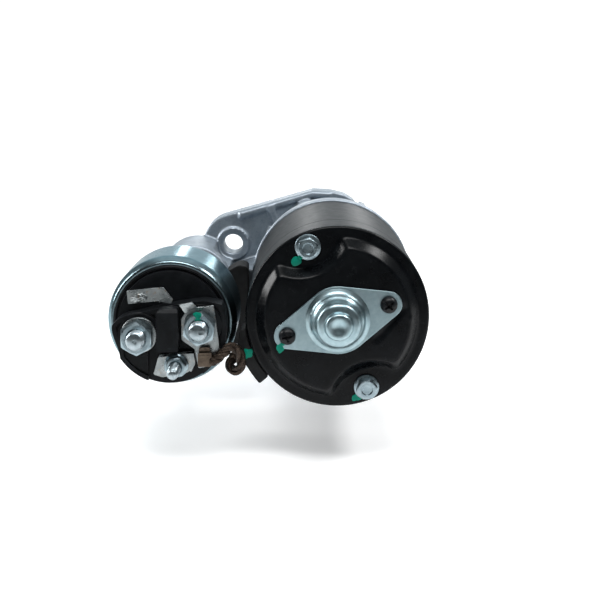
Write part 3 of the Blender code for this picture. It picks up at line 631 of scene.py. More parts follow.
def cover_level(r, angle):
    """Outer surface of the end cover at a radius and an angle in radians."""
    point = (r * math.cos(angle), r * math.sin(angle))
    inside = PLATEAU_R - r
    for degrees in BOLTS.values():
        inside = soft_least(inside, math.dist(point, polar(SCALLOP_AT, degrees)) - SCALLOP_R, 2.6)
    level = COVER_RING_Y + (COVER_TOP_Y - COVER_RING_Y) * ramp(-1.7, 3.5, inside)
    x, z = rotated([point], -TROUGH_TURN, TROUGH_AT)[0]
    along, across = x - TROUGH_AT[0], z - TROUGH_AT[1]
    level += 0.55 * smoothstep(11.5, 6.0, abs(along)) * smoothstep(2.4, 0.3, abs(across))
    level -= 0.35 * smoothstep(2.2, 0.2, math.dist(point, DIMPLE_AT)) * smoothstep(32.5, 30.5, r)
    level += 0.7 * smoothstep(10.6, 9.2, r)
    return level


def build_cover():
    """Pressed end cover: glossy face, duller skirt, and a notch in the skirt for the grommet."""
    radii = [7.4, 7.8, 8.4, 9.0, 9.6, 10.2, 11.0, 12.0, 13.5, 15.0] + [16.0 + 0.5 * i for i in range(36)]
    radii += [34.2, 34.8, 35.4, 36.0, 36.6, 37.2, 37.8]
    rows = [(lambda a, r=r: cover_level(r, a), r) for r in radii]
    rows += [(-159.85, 38.3), (-159.5, 38.65), (-159.0, 38.87), (-158.2, COVER_R)]
    rows += [(y, COVER_R) for y in (-155.0, -150.0, -145.0, -139.2)]
    rows += [(-138.15, 38.98), (-138.0, 38.85), (-138.0, 36.9), (-158.2, 36.9),
             (-158.2, 9.6), (-153.0, 9.6), (-153.0, 7.4)]
    shell = solid(rings(rows, 288))
    window = [polar(r, a) for r, a in ((34.0, 198.3), (42.0, 198.3), (42.0, 211.7), (34.0, 211.7))]
    cut(shell, plate(window, 1.5, -158.5, -141.5))
    cover = piece("end_cover", take_mesh(shell), COVER, "rear_cover", angle=50.0)
    cover.data.materials.append(PAINT)
    for polygon in cover.data.polygons:
        if polygon.center.y > -158.6 * MM:
            polygon.material_index = 1


def build_yoke():
    """Rolled motor tube with turned-in ends."""
    outer = [(38.85, -137.9), (38.98, -137.75), (39.0, -137.3), (39.0, -136.5)]
    outer += [(39.0, -136.5 + 4.0 * i) for i in range(1, 19)]
    outer += [(39.0, -61.4), (38.9, -60.8), (38.5, -60.4), (38.0, -60.3)]
    rows = [(y, r) for r, y in outer] + [(-60.3, 35.6), (-137.9, 35.6)]
    piece("motor_tube", rings(rows, 192), PAINT, "yoke", angle=50.0)


def lobed(radius, lobe_r, lobe_at, angles):
    """Disc with a round ear at each angle, joined by straight sides."""
    points = circle(ORIGIN, radius, 72)
    for degrees in angles:
        points += circle(polar(lobe_at, degrees), lobe_r, 72)
    return hull(points)


def build_shaft_cap():
    """Pressed cap: a thin plate with two ears and a stepped, domed cup over the shaft end."""
    flat = solid(prism(lobed(14.4, 5.6, CAP_SCREW_R, CAP_SCREWS.values()), -166.3, -165.3))
    cut(flat, drill(9.2, -170, -160, ORIGIN, 72))
    piece("shaft_cap_plate", take_mesh(flat), CAP_ZINC, "shaft_end_cap", bevel=0.3)
    cup = [
        (8.6, -165.4), (13.6, -165.4), (13.6, -166.1), (13.45, -166.6), (12.9, -166.9), (12.2, -167.2),
        (11.5, -167.9), (11.1, -168.6), (10.9, -169.2), (10.55, -169.7), (9.9, -170.2), (9.6, -171.0),
        (9.45, -174.0), (9.2, -176.6), (8.9, -177.3), (8.3, -177.8), (7.4, -178.1), (6.6, -178.2),
        (6.15, -178.4), (5.9, -179.0), (5.7, -180.3), (5.5, -181.0), (5.0, -181.4), (4.2, -181.55),
        (3.0, -181.5), (2.2, -181.2), (1.4, -180.9), (0.0, -180.8), (0.0, -176.5), (7.0, -176.5),
    ]
    piece("shaft_cap_cup", turned(cup), CAP_ZINC, "shaft_end_cap",
          angle=40.0)


def cross_head(name, centre, start, node):
    """Pan-head screw with a tapered cross recess."""
    y = -166.4
    dome = [(0, 0), (3.55, 0), (3.6, 0.5), (3.45, 1.4), (3.0, 2.2), (2.2, 2.75), (1.2, 3.05), (0, 3.1)]
    head = solid(turned([(r, y - height) for r, height in dome], centre, 56))
    for turn in (0.0, 90.0):
        bar = rounded([(-2.3, -0.42), (2.3, -0.42), (2.3, 0.42), (-2.3, 0.42)], 0.2)
        cut(head, prism(shifted(rotated(bar, start + turn), centre), y - 3.6, y - 1.3))
    cut(head, turned([(0, y - 3.6), (1.15, y - 3.6), (0.7, y - 1.1), (0, y - 0.8)], centre, 24))
    piece(name, take_mesh(head), BLACK_STEEL, node, bevel=0.12)


def hexagon(centre, across_flats, start):
    return circle(centre, across_flats / math.sqrt(3.0), 6, start)


def chamfered_nut(centre, across_flats, y0, y1, start, bore_r):
    """Hexagon nut or head whose front corners are turned down in a cone."""
    body = solid(prism([hexagon(centre, across_flats, start)], y0, y1))
    inner = 0.5 * across_flats - FACE_INSET
    reach = 0.5 * across_flats / math.cos(math.radians(30.0)) + 0.6
    drop = (reach - inner) * math.tan(math.radians(CHAMFER))
    cut(body, turned([(inner, y0), (reach, y0 + drop), (reach, y0 - 1.0), (inner, y0 - 1.0)], centre, 72))
    if bore_r:
        cone = bore_r + 0.55
        cut(body, turned([(0, y0 - 1), (cone, y0 - 1), (cone, y0), (bore_r, y0 + 0.55), (bore_r, y1 + 1),
                          (0, y1 + 1)], centre, 48))
    return body


def build_through_bolts():
    """Hexagon heads with a shallow dish, each on its own round flange."""
    for name, degrees in BOLTS.items():
        centre = polar(BOLT_R, degrees)
        head = chamfered_nut(centre, 8.0, -165.8, -161.2, BOLT_TURNS[name], 0.0)
        cut(head, turned([(0, -166.5), (2.6, -166.5), (2.2, -165.3), (0, -165.2)], centre, 32))
        piece(f"bolt_head_{name}", take_mesh(head), ZINC, f"through_bolt_{name}", bevel=0.22)
        washer = turned([(0.5, -160.3), (5.45, -160.3), (5.5, -160.8), (5.3, -161.15), (4.6, -161.5),
                         (0.5, -161.6)], centre, 64)
        piece(f"bolt_flange_{name}", washer, ZINC, f"through_bolt_{name}", angle=30.0)


# ---------------- solenoid
def solenoid_pad_outline():
    """Round face with two screw ears, where the solenoid meets the housing."""
    outline = circle(SOL, 18.4, 72)
    for degrees in SOL_SCREWS.values():
        outline += circle(polar(SOL_SCREW_R, degrees, SOL), 5.0, 40)
    return hull(outline)


def build_can():
    """Drawn steel can, crimped over the terminal cap, and the flange that bolts to the housing."""
    profile = [
        (15.0, -80.3), (17.5, -80.3), (17.5, -108.6), (17.9, -109.3), (19.0, -109.9), (24.0, -111.2),
        (26.0, -112.0), (27.3, -113.0), (27.9, -114.2), (28.0, -115.5),
    ]
    profile += [(28.0, -115.5 - 4.0 * i) for i in range(1, 8)]
    profile += [
        (28.0, -146.2), (27.9, -147.6), (27.5, -149.2), (26.9, -150.7), (26.4, -151.8), (25.95, -152.2),
        (25.4, -152.32), (24.95, -152.25), (24.9, -151.9), (24.9, -150.9), (26.0, -150.6), (26.0, -118.2),
        (15.0, -118.2),
    ]
    piece("solenoid_shell", turned(profile, SOL, 160), CAN, "solenoid_can",
          angle=44.0)
    pad = solid(prism(solenoid_pad_outline(), -84.0, -80.3))
    cut(pad, drill(15.2, -90, -70, SOL, 72))
    piece("solenoid_pad", take_mesh(pad), ZINC, "solenoid_can", bevel=0.4)


CAP_BLOCK = [(-51.8, 7.2), (-57.0, 7.8), (-68.3, 6.2), (-76.6, 4.4), (-83.3, 2.7), (-88.7, 1.6),
             (-92.9, -0.6), (-94.9, -4.5), (-91.9, -14.6)]


def cap_block_outline(inset=0.0):
    """Raised block of the terminal cap: an arch above, the cap's own round edge below."""
    arch = smooth_path([(x, 0.0, z) for x, z in CAP_BLOCK], 6)
    points = [(p.x, p.z) for p in arch]
    points += [polar(24.5, 212.5 + 171.0 * i / 48, SOL) for i in range(49)]
    if not inset:
        return points
    centre = (-72.0, -6.0)
    shrunk = []
    for x, z in points:
        reach = math.dist((x, z), centre)
        shrunk.append((centre[0] + (x - centre[0]) * (1 - inset / reach),
                       centre[1] + (z - centre[1]) * (1 - inset / reach)))
    return shrunk


def build_terminal_cap():
    """Terminal moulding: rimmed disc, raised block, stud bosses, a well and a barrier."""
    cap = solid(turned([
        (0.0, -148.5), (24.8, -148.5), (24.8, -152.0), (24.6, -152.8), (24.1, -153.1), (23.6, -152.9),
        (23.4, -152.1), (22.7, -152.1), (22.5, -153.9), (21.9, -154.2), (0.0, -154.2),
    ], SOL, 128))
    add(cap, prism(cap_block_outline(), -163.3, -150.0))
    add(cap, prism([cap_block_outline(0.02), cap_block_outline(1.9)], -164.4, -160.0))
    for centre in (BATTERY, MOTOR):
        add(cap, turned([(0, -160), (9.4, -160), (9.4, -164.0), (8.9, -164.5), (0, -164.5)], centre, 56))
    well = rounded([(-80.0, -31.0), (-57.0, -31.0), (-57.0, -12.6), (-80.0, -12.6)], 1.5)
    cut(cap, prism(well, -166.0, -161.8))
    barrier = rounded([(-75.4, -12.3), (-66.4, -12.3), (-66.4, 6.0), (-75.4, 5.2)], [0.8, 0.8, 1.6, 2.4])
    add(cap, prism(barrier, -171.9, -155.0))
    slope = [(-168.5, 7.5), (-173.0, 7.5), (-173.0, 3.6), (-171.9, 4.2), (-170.6, 5.4)]
    cut(cap, side_prism(slope, -77.0, -65.0))
    for centre in (BATTERY, MOTOR):
        cut(cap, drill(4.3, -175, -160.5, centre, 32))
    cut(cap, drill(2.7, -175, -157, CONTROL, 24))
    piece("terminal_moulding", take_mesh(cap), PLASTIC, "solenoid_cap", bevel=0.45)


# ---------------- terminals
def threaded(centre, radius, y_tip, y_end, pitch, dome=0.5, dimple=0.0):
    """Stud with a real helical thread, a tapered tip and an optional centre dimple."""
    depth = 0.32 * pitch

    def radius_at(y):
        lead = smoothstep(y_tip, y_tip + 1.3, y)

        def around(angle):
            phase = (y / pitch - angle / (2.0 * math.pi)) % 1.0
            crest = 1.0 - abs(2.0 * phase - 1.0)
            return radius - 0.75 * (1.0 - lead) - depth * (0.25 + 0.75 * lead) * min(1.0, 1.25 * crest)
        return around

    end_r = radius - depth - 0.75
    rows = [(y_end, 0.0)]
    count = int((y_end - y_tip) / (pitch / 8.0))
    rows += [(y_end - (y_end - y_tip - 0.15) * i / count, None) for i in range(count + 1)]
    rows = [(y, r if r is not None else radius_at(y)) for y, r in rows]
    rows += [(y_tip, end_r - 0.15), (y_tip - 0.3 * dome, 0.7 * end_r)]
    rows += [(y_tip - 0.45 * dome, 0.42 * end_r)]
    if dimple:
        rows += [(y_tip - 0.42 * dome, 0.3 * end_r), (y_tip - 0.4 * dome + dimple, 0.18 * end_r)]
        rows += [(y_tip - 0.4 * dome + dimple, 0.0)]
    else:
        rows += [(y_tip - 0.5 * dome, 0.0)]
    return rings(rows, 40, centre)


def build_studs():
    """Threaded ends of the three studs; the motor stud has a slot beside its middle."""
    piece("battery_stud_thread", threaded(BATTERY, 3.95, -179.6, -166.0, 1.25, 0.7, 0.5), STUD_STEEL,
          "battery_stud", angle=50.0)
    motor = solid(threaded(MOTOR, 3.95, -179.6, -166.0, 1.25, 0.7))
    cut(motor, box(MOTOR[0] + 0.6, MOTOR[0] + 2.6, -180.4, -178.9, MOTOR[1] - 0.5, MOTOR[1] + 0.5))
    piece("motor_stud_thread", take_mesh(motor), STUD_STEEL, "motor_stud", angle=50.0)
    piece("control_stud_thread", threaded(CONTROL, 2.45, -184.3, -162.0, 0.8, 0.5), STUD_STEEL,
          "control_stud", angle=50.0)


def build_nuts():
    """Nuts on the three studs, the control nut's flange and the battery stud's washer."""
    battery = chamfered_nut(shifted([BATTERY], (-0.3, -0.2))[0], 12.6, -173.4, -166.9, 30.0, 3.85)
    piece("battery_nut_body", take_mesh(battery), ZINC, "battery_nut", bevel=0.25)
    motor = chamfered_nut(MOTOR, 12.4, -172.9, -166.7, 22.0, 3.85)
    piece("motor_nut_body", take_mesh(motor), ZINC, "motor_nut", bevel=0.25)
    control = chamfered_nut(CONTROL, 8.0, -172.6, -168.3, 10.0, 2.3)
    piece("control_nut_body", take_mesh(control), ZINC, "control_nut", bevel=0.2)
    flange = [(2.6, -167.3), (5.05, -167.3), (5.1, -167.7), (4.8, -168.1), (4.2, -168.5), (2.6, -168.8)]
    piece("control_nut_flange", turned(flange, CONTROL, 64), ZINC, "control_nut", angle=35.0)
    washer = rounded([(4.3, -166.6), (7.6, -166.6), (7.6, -164.8), (4.3, -164.8)], 0.35, 3)
    piece("battery_plain_washer", turned(washer, BATTERY), TIN, "battery_washer",
          angle=40.0)


MOTOR_PLATE = [(-63.6, 3.6), (-58.6, 5.7), (-55.6, 5.8), (-51.8, 6.5), (-49.5, -12.0), (-49.6, -18.8),
               (-58.6, -20.5), (-60.2, -12.2), (-65.6, -8.4), (-65.6, 0.8)]
PLATE_LIP = [(-66.2, 7.1), (-60.6, 8.2), (-58.5, 5.8), (-63.9, 3.2)]


def build_motor_plate():
    """Stamped terminal plate with a folded top lip, and the lead's crimp on its lower leg."""
    flat = solid(plate(MOTOR_PLATE, 0.7, -166.3, -165.0))
    cut(flat, drill(4.2, -170, -160, MOTOR, 48))
    piece("motor_plate", take_mesh(flat), TIN, "motor_terminal_plate", bevel=0.22)
    fold = plate(PLATE_LIP, 0.4, -167.1, -166.3)
    for vertex in fold.vertices:
        vertex.co.y -= 0.28 * (vertex.co.z - 3.4)
    piece("motor_plate_lip", fold, TIN, "motor_terminal_plate", bevel=0.25)

    sleeve = rounded([(-58.5, -19.0), (-52.8, -18.8), (-52.7, -12.8), (-58.4, -13.0)], 0.9)
    barrel = solid(prism(sleeve, -170.3, -166.8))
    cut(barrel, side_prism([(-171.0, -12.2), (-171.0, -13.4), (-169.3, -12.2)], -60.0, -50.0))
    piece("crimp_barrel", take_mesh(barrel), CRIMP, "braid_crimp", bevel=0.6)
    seam = rounded([(-58.2, -14.6), (-53.0, -14.5), (-53.0, -14.0), (-58.2, -14.1)], 0.2)
    piece("crimp_seam", prism(seam, -170.45, -170.0), CRIMP, "braid_crimp", bevel=0.1)
    wing = rounded([(-58.2, -12.9), (-53.3, -12.8), (-53.6, -10.8), (-57.9, -10.9)], 0.5)
    piece("crimp_wing", prism(wing, -168.9, -168.0), CRIMP, "braid_crimp", bevel=0.25)


def fit_between(mesh, low, high):
    """Scale and shift a mesh so its box is exactly low to high."""
    points = [v.co.copy() for v in mesh.vertices]
    start = [min(p[k] for p in points) for k in range(3)]
    end = [max(p[k] for p in points) for k in range(3)]
    for vertex, p in zip(mesh.vertices, points):
        share = [(p[k] - start[k]) / (end[k] - start[k]) for k in range(3)]
        vertex.co = [low[k] + share[k] * (high[k] - low[k]) for k in range(3)]


BRACKET = [(-75.4, -15.5), (-77.5, -23.0), (-73.7, -24.3), (-62.9, -22.1), (-59.7, -18.4), (-60.3, -13.8),
           (-64.9, -14.2)]


def build_control_terminal():
    """Folded bracket under the control nut: a front and a back leaf joined by a bend at the right."""
    for name, y0 in (("front", -167.0), ("back", -162.7)):
        leaf = solid(plate(BRACKET, 0.7, y0, y0 + 0.8))
        cut(leaf, drill(2.7, -170, -160, CONTROL, 32))
        piece(f"control_leaf_{name}", take_mesh(leaf), TIN, "control_terminal", bevel=0.18)
    bend = [(-61.6, -22.0), (-59.9, -18.6), (-60.5, -13.9), (-61.4, -14.0), (-60.9, -18.5), (-62.5, -21.6)]
    piece("control_bend", plate(bend, 0.3, -166.6, -162.3), TIN, "control_terminal", bevel=0.15)


def build_winding_tab():
    """Solenoid winding's tab: a strip welded at its left end and folded at its right."""
    outline = [(-88.7, 11.6), (-73.3, 13.1), (-69.4, 8.1), (-70.1, 6.3), (-75.2, 7.2), (-80.0, 6.7),
               (-88.2, 5.9)]
    strip = solid(plate(outline, 0.4, -160.8, -160.05))
    piece("winding_strip", take_mesh(strip), TIN, "winding_tab", bevel=0.15)
    post = rounded([(-86.4, 7.2), (-84.6, 7.2), (-84.6, 10.9), (-86.4, 10.9)], 0.5)
    piece("winding_post", prism(post, -160.2, -154.6), COPPER, "winding_tab", bevel=0.2)
    weld = bpy.data.meshes.new("weld")
    work = bmesh.new()
    bmesh.ops.create_icosphere(work, subdivisions=5, radius=1.0)
    for vertex in work.verts:
        lump = 1.0 + 0.22 * noise.fractal(vertex.co * 2.1, 1.0, 2.0, 3)
        vertex.co = vertex.co * lump
    work.to_mesh(weld)
    work.free()
    fit_between(weld, (-87.6, -161.7, 6.3), (-79.8, -160.0, 10.9))
    piece("winding_weld", weld, TIN, "winding_tab", angle=60.0)
    fold = prism(rounded([(-75.2, 7.3), (-70.4, 8.8), (-69.3, 8.0), (-70.0, 6.3)], 0.3), -161.9, -160.9)
    for vertex in fold.vertices:
        vertex.co.y += 0.3 * (vertex.co.z - 7.0)
    piece("winding_fold", fold, TIN, "winding_tab", bevel=0.2)


# ---------------- lead and rubber
LEAD = [(-52.8, -168.9, -16.8), (-52.2, -168.9, -16.6), (-50.4, -168.9, -15.5), (-47.9, -168.6, -13.4),
        (-45.7, -167.0, -11.6), (-43.3, -164.3, -12.2), (-41.3, -161.9, -15.4), (-40.8, -160.8, -19.8),
        (-43.0, -158.5, -23.4), (-45.7, -154.8, -23.3), (-45.9, -151.4, -21.7), (-44.7, -149.4, -19.8),
        (-43.4, -149.0, -18.6), (-41.0, -149.0, -17.4)]
LEAD_LAY = 12.0
BUNDLES = 3
BUNDLE_R = 1.02
BUNDLE_OFFSET = 1.12


def joined(*meshes):
    """One mesh made of several."""
    work = bmesh.new()
    for mesh in meshes:
        work.from_mesh(mesh)
        bpy.data.meshes.remove(mesh)
    result = bpy.data.meshes.new("joined")
    work.to_mesh(result)
    work.free()
    return result


def build_lead():
    """Short link of three twisted bundles of copper braid, held by the crimp and the grommet."""
    path = smooth_path(LEAD, 9)
    frames = path_frames(path)
    length = sum((b - a).length for a, b in zip(path, path[1:]))
    bundles = []
    for number in range(BUNDLES):
        centre = []
        for i, (point, side, up) in enumerate(frames):
            angle = 2.0 * math.pi * (length / LEAD_LAY * i / (len(path) - 1) + number / BUNDLES)
            centre.append(point + (side * math.cos(angle) + up * math.sin(angle)) * BUNDLE_OFFSET)
        bundles.append(tube(centre, lambda i, a: BUNDLE_R + 0.13 * abs(math.sin(6.0 * a + 0.75 * i)), 48))
    lead = piece("braided_link", joined(*bundles), BRAID, "braided_lead", angle=60.0)


def build_grommet():
    """Rubber block that carries the lead through the notch of the end cover."""
    outline = [polar(42.0, 188.4), polar(43.0, 192.5)]
    outline += [polar(44.4, a) for a in (196, 201, 207, 213, 218, 221.6)]
    outline += [polar(39.4, a) for a in (221.8, 215, 209, 203, 197, 191, 188.2)]
    block = solid(plate(outline, 0.9, -157.9, -142.1))
    piece("grommet_block", take_mesh(block), RUBBER, "cable_grommet", bevel=0.8)
    neck = [polar(39.6, a) for a in (199.2, 203, 207, 210.8)]
    neck += [polar(35.7, a) for a in (210.8, 205, 199.2)]
    piece("grommet_neck", prism(neck, -157.0, -143.0), RUBBER, "cable_grommet", bevel=0.4)
    lip = [polar(42.2, a) for a in (201, 205, 209, 213)] + [polar(40.0, a) for a in (213, 209, 205, 201)]
    piece("grommet_lip", plate(lip, 0.8, -157.95, -157.0), RUBBER, "cable_grommet", bevel=0.3)


def build_seal():
    """Rubber boot that closes the lever's opening between the motor and the solenoid."""
    outline = rounded([(-54.5, -31.0), (-41.7, -31.0), (-41.7, 7.9), (-46.0, 8.9), (-52.4, 5.4)], 1.5)
    piece("lever_boot", prism(outline, -73.9, -56.4), RUBBER, "lever_seal", bevel=1.0)


# ---------------- paint marks
def dab(name, centre, radius, y, seed, squeeze, tilt):
    """Thin uneven blob of marking paint on a face that looks towards -Y."""
    shape = random.Random(seed)
    wobble = [shape.uniform(0.72, 1.18) for _ in range(9)]

    def edge(angle):
        t = angle / (2.0 * math.pi) * len(wobble)
        i = int(t) % len(wobble)
        return wobble[i] + (wobble[(i + 1) % len(wobble)] - wobble[i]) * (t - int(t))

    rows = [(y, lambda a: radius * edge(a)), (y - 0.08, lambda a: 0.93 * radius * edge(a)),
            (y - 0.13, lambda a: 0.6 * radius * edge(a)), (y - 0.15, 0.0), (y + 0.05, 0.0)]
    mesh = rings(rows, 54, ORIGIN)
    for vertex in mesh.vertices:
        x, z = rotated([(vertex.co.x, vertex.co.z * squeeze)], tilt)[0]
        vertex.co = (x + centre[0], vertex.co.y, z + centre[1])
    piece(name, mesh, GREEN, angle=60.0)


# Name: centre, radius, height, seed, squeeze, tilt.
MARKS = {
    "mark_nut": ((-58.0, 3.5), 2.0, -172.9, 3, 0.75, 0.0),
    "mark_nut_low": ((-57.9, 1.7), 1.5, -173.0, 9, 0.4, 0.0),
    "mark_upper_bolt": ((-17.6, 24.4), 2.5, -160.6, 4, 0.8, 20.0),
    "mark_upper_bolt_edge": ((-15.4, 26.2), 1.5, -161.3, 14, 0.6, 40.0),
    "mark_lower_bolt": ((8.6, -34.9), 2.2, -160.2, 5, 0.7, 25.0),
    "mark_left_screw": ((-24.2, -11.8), 2.3, -166.2, 6, 0.75, 70.0),
    "mark_left_screw_top": ((-23.0, -9.9), 1.3, -167.0, 16, 0.6, 0.0),
    "mark_right_screw": ((20.4, 4.0), 1.5, -167.2, 7, 0.5, -30.0),
    "mark_grommet": ((-38.2, -16.1), 2.4, -157.9, 8, 0.95, 0.0),
}


def build_marks():
    """Green dabs on the motor nut, the bolts, the cap screws and the grommet."""
    for name, settings in MARKS.items():
        dab(name, *settings)


# ---------------- drive-end housing
FLANGE_HOLE_R = 5.25
BOLT_HOLE_R = 3.3
FLANGE_TOP = [(-8.6, 40.3), (1.4, 39.6), (8.1, 38.0), (12.2, 35.5)]
VOXEL = 0.62
BARREL_R = 34.7
GEAR_BORE_R = 21.6
PLUNGER_BORE_R = 15.0


def flange_outline():
    """Flange with a lobe round each hole and a straight top."""
    points = circle(HOLE_1, 16.0, 64) + circle(HOLE_2, 14.5, 64) + circle(ORIGIN, 33.0, 96)
    return hull(points + FLANGE_TOP)


def housing_blank():
    """Everything the mould leaves: barrel, nose, flange, solenoid tower, bosses and ribs."""
    blank = solid(turned([
        (40.0, -60.0), (34.6, -60.0), (34.6, -42.0), (21.5, -42.0), (21.5, -11.0), (18.5, -8.0), (18.5, 4.0),
        (15.5, 7.0), (15.5, 33.0), (8.3, 35.0), (8.3, 48.0), (12.0, 48.0), (12.5, 36.0), (19.0, 31.0),
        (19.0, 4.6), (30.0, 4.6), (30.0, -8.0), (24.8, -8.0), (24.8, -31.0), (39.2, -42.8),
    ], steps=144))
    ring = circle(ORIGIN, 24.0, 96)
    add(blank, prism([flange_outline(), ring], -15.8, -0.1))
    add(blank, prism(circle(SOL, 19.5, 96), -56.0, -14.0))
    add(blank, prism([solenoid_pad_outline(), circle(SOL, 15.2, 72)], -79.9, -74.0))
    add(blank, prism([circle(SOL, 17.2, 96), circle(SOL, 14.5, 72)], -76.0, -52.0))
    web = [(-62.0, -25.0), (-26.0, -25.0), (-26.0, 4.0), (-41.0, 4.0), (-62.0, -3.0)]
    add(blank, prism(web, -56.0, -15.0))
    for degrees in BOLTS.values():
        add(blank, prism(circle(polar(31.5, degrees), 6.3, 48), -46.0, -12.0))
    for degrees in (62.0, 150.0, 215.0, 330.0):
        blade = rotated([(22.0, -1.8), (38.0, -1.8), (38.0, 1.8), (22.0, 1.8)], degrees)
        add(blank, prism(blade, -41.0, -12.0))
    return blank


def build_housing():
    """Finished casting: ribs, holes and bores, then fillets by a smoothed voxel skin."""
    blank = housing_blank()
    top = [(-49.0, 28.2), (-9.2, 39.8), (1.2, 39.0), (1.0, 35.8), (-9.4, 36.6), (-48.2, 25.0)]
    add(blank, plate(top, 1.0, -17.3, -14.0))
    gusset = [(-33.8, 31.6), (-30.4, 32.6), (-24.6, 20.0), (-28.6, 18.6)]
    add(blank, plate(gusset, 0.8, -17.8, -14.0))
    add(blank, turned([(5.0, -17.4), (8.6, -17.4), (9.4, -14.0), (5.0, -14.0)], HOLE_1, 64))
    for hole in (HOLE_1, HOLE_2):
        cut(blank, prism(circle(hole, FLANGE_HOLE_R, 64), -50.0, 5.0))
    cut(blank, drill(8.4, -45, -17.0, HOLE_1, 64))
    for degrees in BOLTS.values():
        cut(blank, prism(circle(polar(BOLT_R, degrees), BOLT_HOLE_R, 32), -61.0, -34.0))
    window = rotated([(10.0, -9.5), (45.0, -9.5), (45.0, 9.5), (10.0, 9.5)], WINDOW_ANGLE)
    cut(blank, prism(window, 6.0, 26.0))
    cut(blank, prism(circle(ORIGIN, BARREL_R, 144), -61.5, -41.9))
    cut(blank, prism(circle(ORIGIN, GEAR_BORE_R, 96), -43.0, -11.0))
    cut(blank, prism(circle(SOL, PLUNGER_BORE_R, 72), -81.0, -19.5))
    cut(blank, box(-60.0, -18.0, -41.7, -19.5, -8.0, 1.0))
    remesh = blank.modifiers.new("skin", "REMESH")
    remesh.mode = "VOXEL"
    remesh.voxel_size = VOXEL
    smooth = blank.modifiers.new("fillets", "SMOOTH")
    smooth.factor = 0.5
    smooth.iterations = 5
    apply_modifiers(blank)
    clamp_to(blank.data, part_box("drive_end_housing"))
    piece("housing_casting", take_mesh(blank), CAST, "drive_end_housing", angle=180.0)


def clamp_to(mesh, corners):
    """Keep a mesh in millimetres inside a box in metres."""
    low, high = (corner / MM for corner in corners)
    for vertex in mesh.vertices:
        vertex.co = [min(max(v, a), b) for v, a, b in zip(vertex.co, low, high)]


# ---------------- camera, light and floor
CAMERA_AT = (-0.01584, -0.64393, 0.09865)
CAMERA_DOWN = 10.663
LENS_MM = 70.108
SENSOR_MM = 36.0
WALL_COLOUR = (0.90, 0.97, 1.0, 1.0)
FRONT_WALL = 0.16
BACK_WALL = 1.2
SIDE_WALLS = 0.3
FLOOR_GLOW = 0.35
FAR_GLOW = 0.9
FLOOR_FADE = (-0.5, -0.3)
FRONT_FLOOR = 0.12
FLOOR_HALF = 4.0
FLOOR_GAP = 0.001
# Name: place, point it faces, width, height, watts.
LIGHTS = {
    "overhead": ((-0.03, -0.5, 0.85), (-0.03, -0.1, 0.0), 0.6, 0.3, 7.0),
    "left_strip": ((-0.9, 0.0, 0.4), (-0.03, -0.14, 0.0), 0.16, 0.55, 8.0),
    "right_strip": ((0.6, -0.04, 0.82), (0.02, -0.14, 0.03), 0.55, 0.2, 7.0),
    "rear_strip_left": ((-0.26, 3.0, 0.56), (-0.05, -0.1, 0.02), 0.13, 0.5, 2.6),
    "rear_strip_right": ((0.40, 3.0, 0.42), (-0.05, -0.1, 0.02), 0.13, 0.5, 2.6),
}


def placed(name, data, location):
    obj = bpy.data.objects.new(name, data)
    bpy.context.scene.collection.objects.link(obj)
    obj.location = location
    return obj


def build_camera():
    data = bpy.data.cameras.new("camera")
    data.lens = LENS_MM
    data.sensor_width = SENSOR_MM
    data.clip_end = 50.0
    camera = placed("camera", data, CAMERA_AT)
    camera.rotation_euler = (math.radians(90.0 - CAMERA_DOWN), 0.0, 0.0)
    bpy.context.scene.camera = camera


def area_light(name, location, target, size, size_y, power):
    data = bpy.data.lights.new(name, "AREA")
    data.shape = "RECTANGLE"
    data.size = size
    data.size_y = size_y
    data.energy = power
    facing = Vector(target) - Vector(location)
    placed(name, data, location).rotation_euler = facing.to_track_quat("-Z", "Y").to_euler()


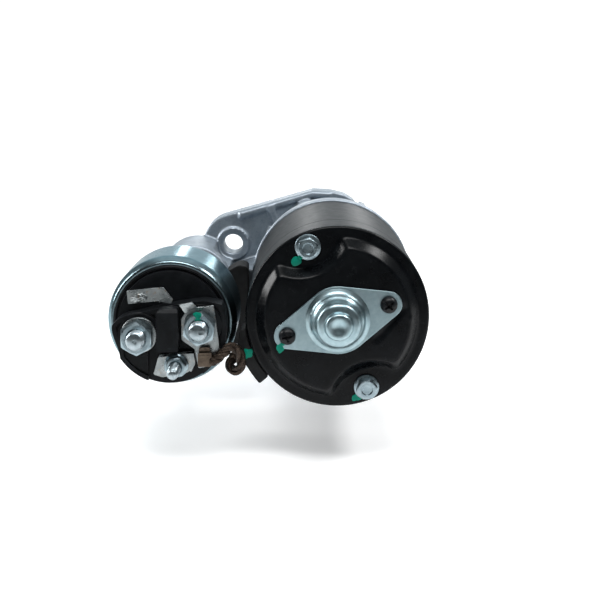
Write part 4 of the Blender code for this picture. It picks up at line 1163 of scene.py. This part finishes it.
def build_world():
    """Bright wall behind the motor, dimmer at its sides and in front of it."""
    world = bpy.data.worlds.new("studio")
    bpy.context.scene.world = world
    world.use_nodes = True
    tree = world.node_tree
    background = tree.nodes["Background"]
    background.inputs["Color"].default_value = WALL_COLOUR
    split = tree.nodes.new("ShaderNodeSeparateXYZ")
    tree.links.new(tree.nodes.new("ShaderNodeTexCoord").outputs["Generated"], split.inputs[0])
    behind = ranged(tree, split.outputs["Y"], -0.15, 0.45, FRONT_WALL, BACK_WALL)
    sideways = calculated(tree, "ABSOLUTE", split.outputs["X"])
    beside = ranged(tree, sideways, 0.24, 0.42, 1.0, SIDE_WALLS)
    tree.links.new(calculated(tree, "MULTIPLY", behind, beside), background.inputs["Strength"])


def floor_surface():
    """Pale floor that glows behind the motor and falls dark in front of it, below the view."""
    s = Surface("studio_floor", specular=0.2)
    split = s.node("ShaderNodeSeparateXYZ")
    s.wire(split.inputs[0], s.coords)
    fade = s.remap(split.outputs["Y"], *FLOOR_FADE)
    pale = s.blend(s.noise(60.0), [0.86] * 3, [0.88] * 3)
    glow = s.remap(split.outputs["Y"], 0.5, 2.0, FLOOR_GLOW, FAR_GLOW)
    s.shader.inputs["Emission Color"].default_value = (1.0, 1.0, 1.0, 1.0)
    s.wire(s.shader.inputs["Emission Strength"], s.math("MULTIPLY", fade, glow))
    return s.finish(s.blend(fade, [FRONT_FLOOR] * 3, pale), 0.8)


def build_studio():
    bpy.context.scene.view_settings.view_transform = "Standard"
    build_world()
    for name, settings in LIGHTS.items():
        area_light(name, *settings)
    mesh = bpy.data.meshes.new("floor")
    work = bmesh.new()
    bmesh.ops.create_grid(work, x_segments=8, y_segments=8, size=FLOOR_HALF)
    work.to_mesh(mesh)
    work.free()
    mesh.materials.append(floor_surface())
    placed("floor", mesh, (0.0, 0.0, CAD_BOX[0].z - FLOOR_GAP))


build_camera()
dress_cad_nodes()
build_cover()
build_yoke()
build_shaft_cap()
for side, degrees in CAP_SCREWS.items():
    cross_head(f"cross_head_{side}", polar(CAP_SCREW_R, degrees), CROSS_TURNS[side], f"cap_screw_{side}")
build_through_bolts()
build_can()
build_terminal_cap()
build_studs()
build_nuts()
build_motor_plate()
build_control_terminal()
build_winding_tab()
build_lead()
build_grommet()
build_seal()
build_marks()
build_housing()
build_studio()
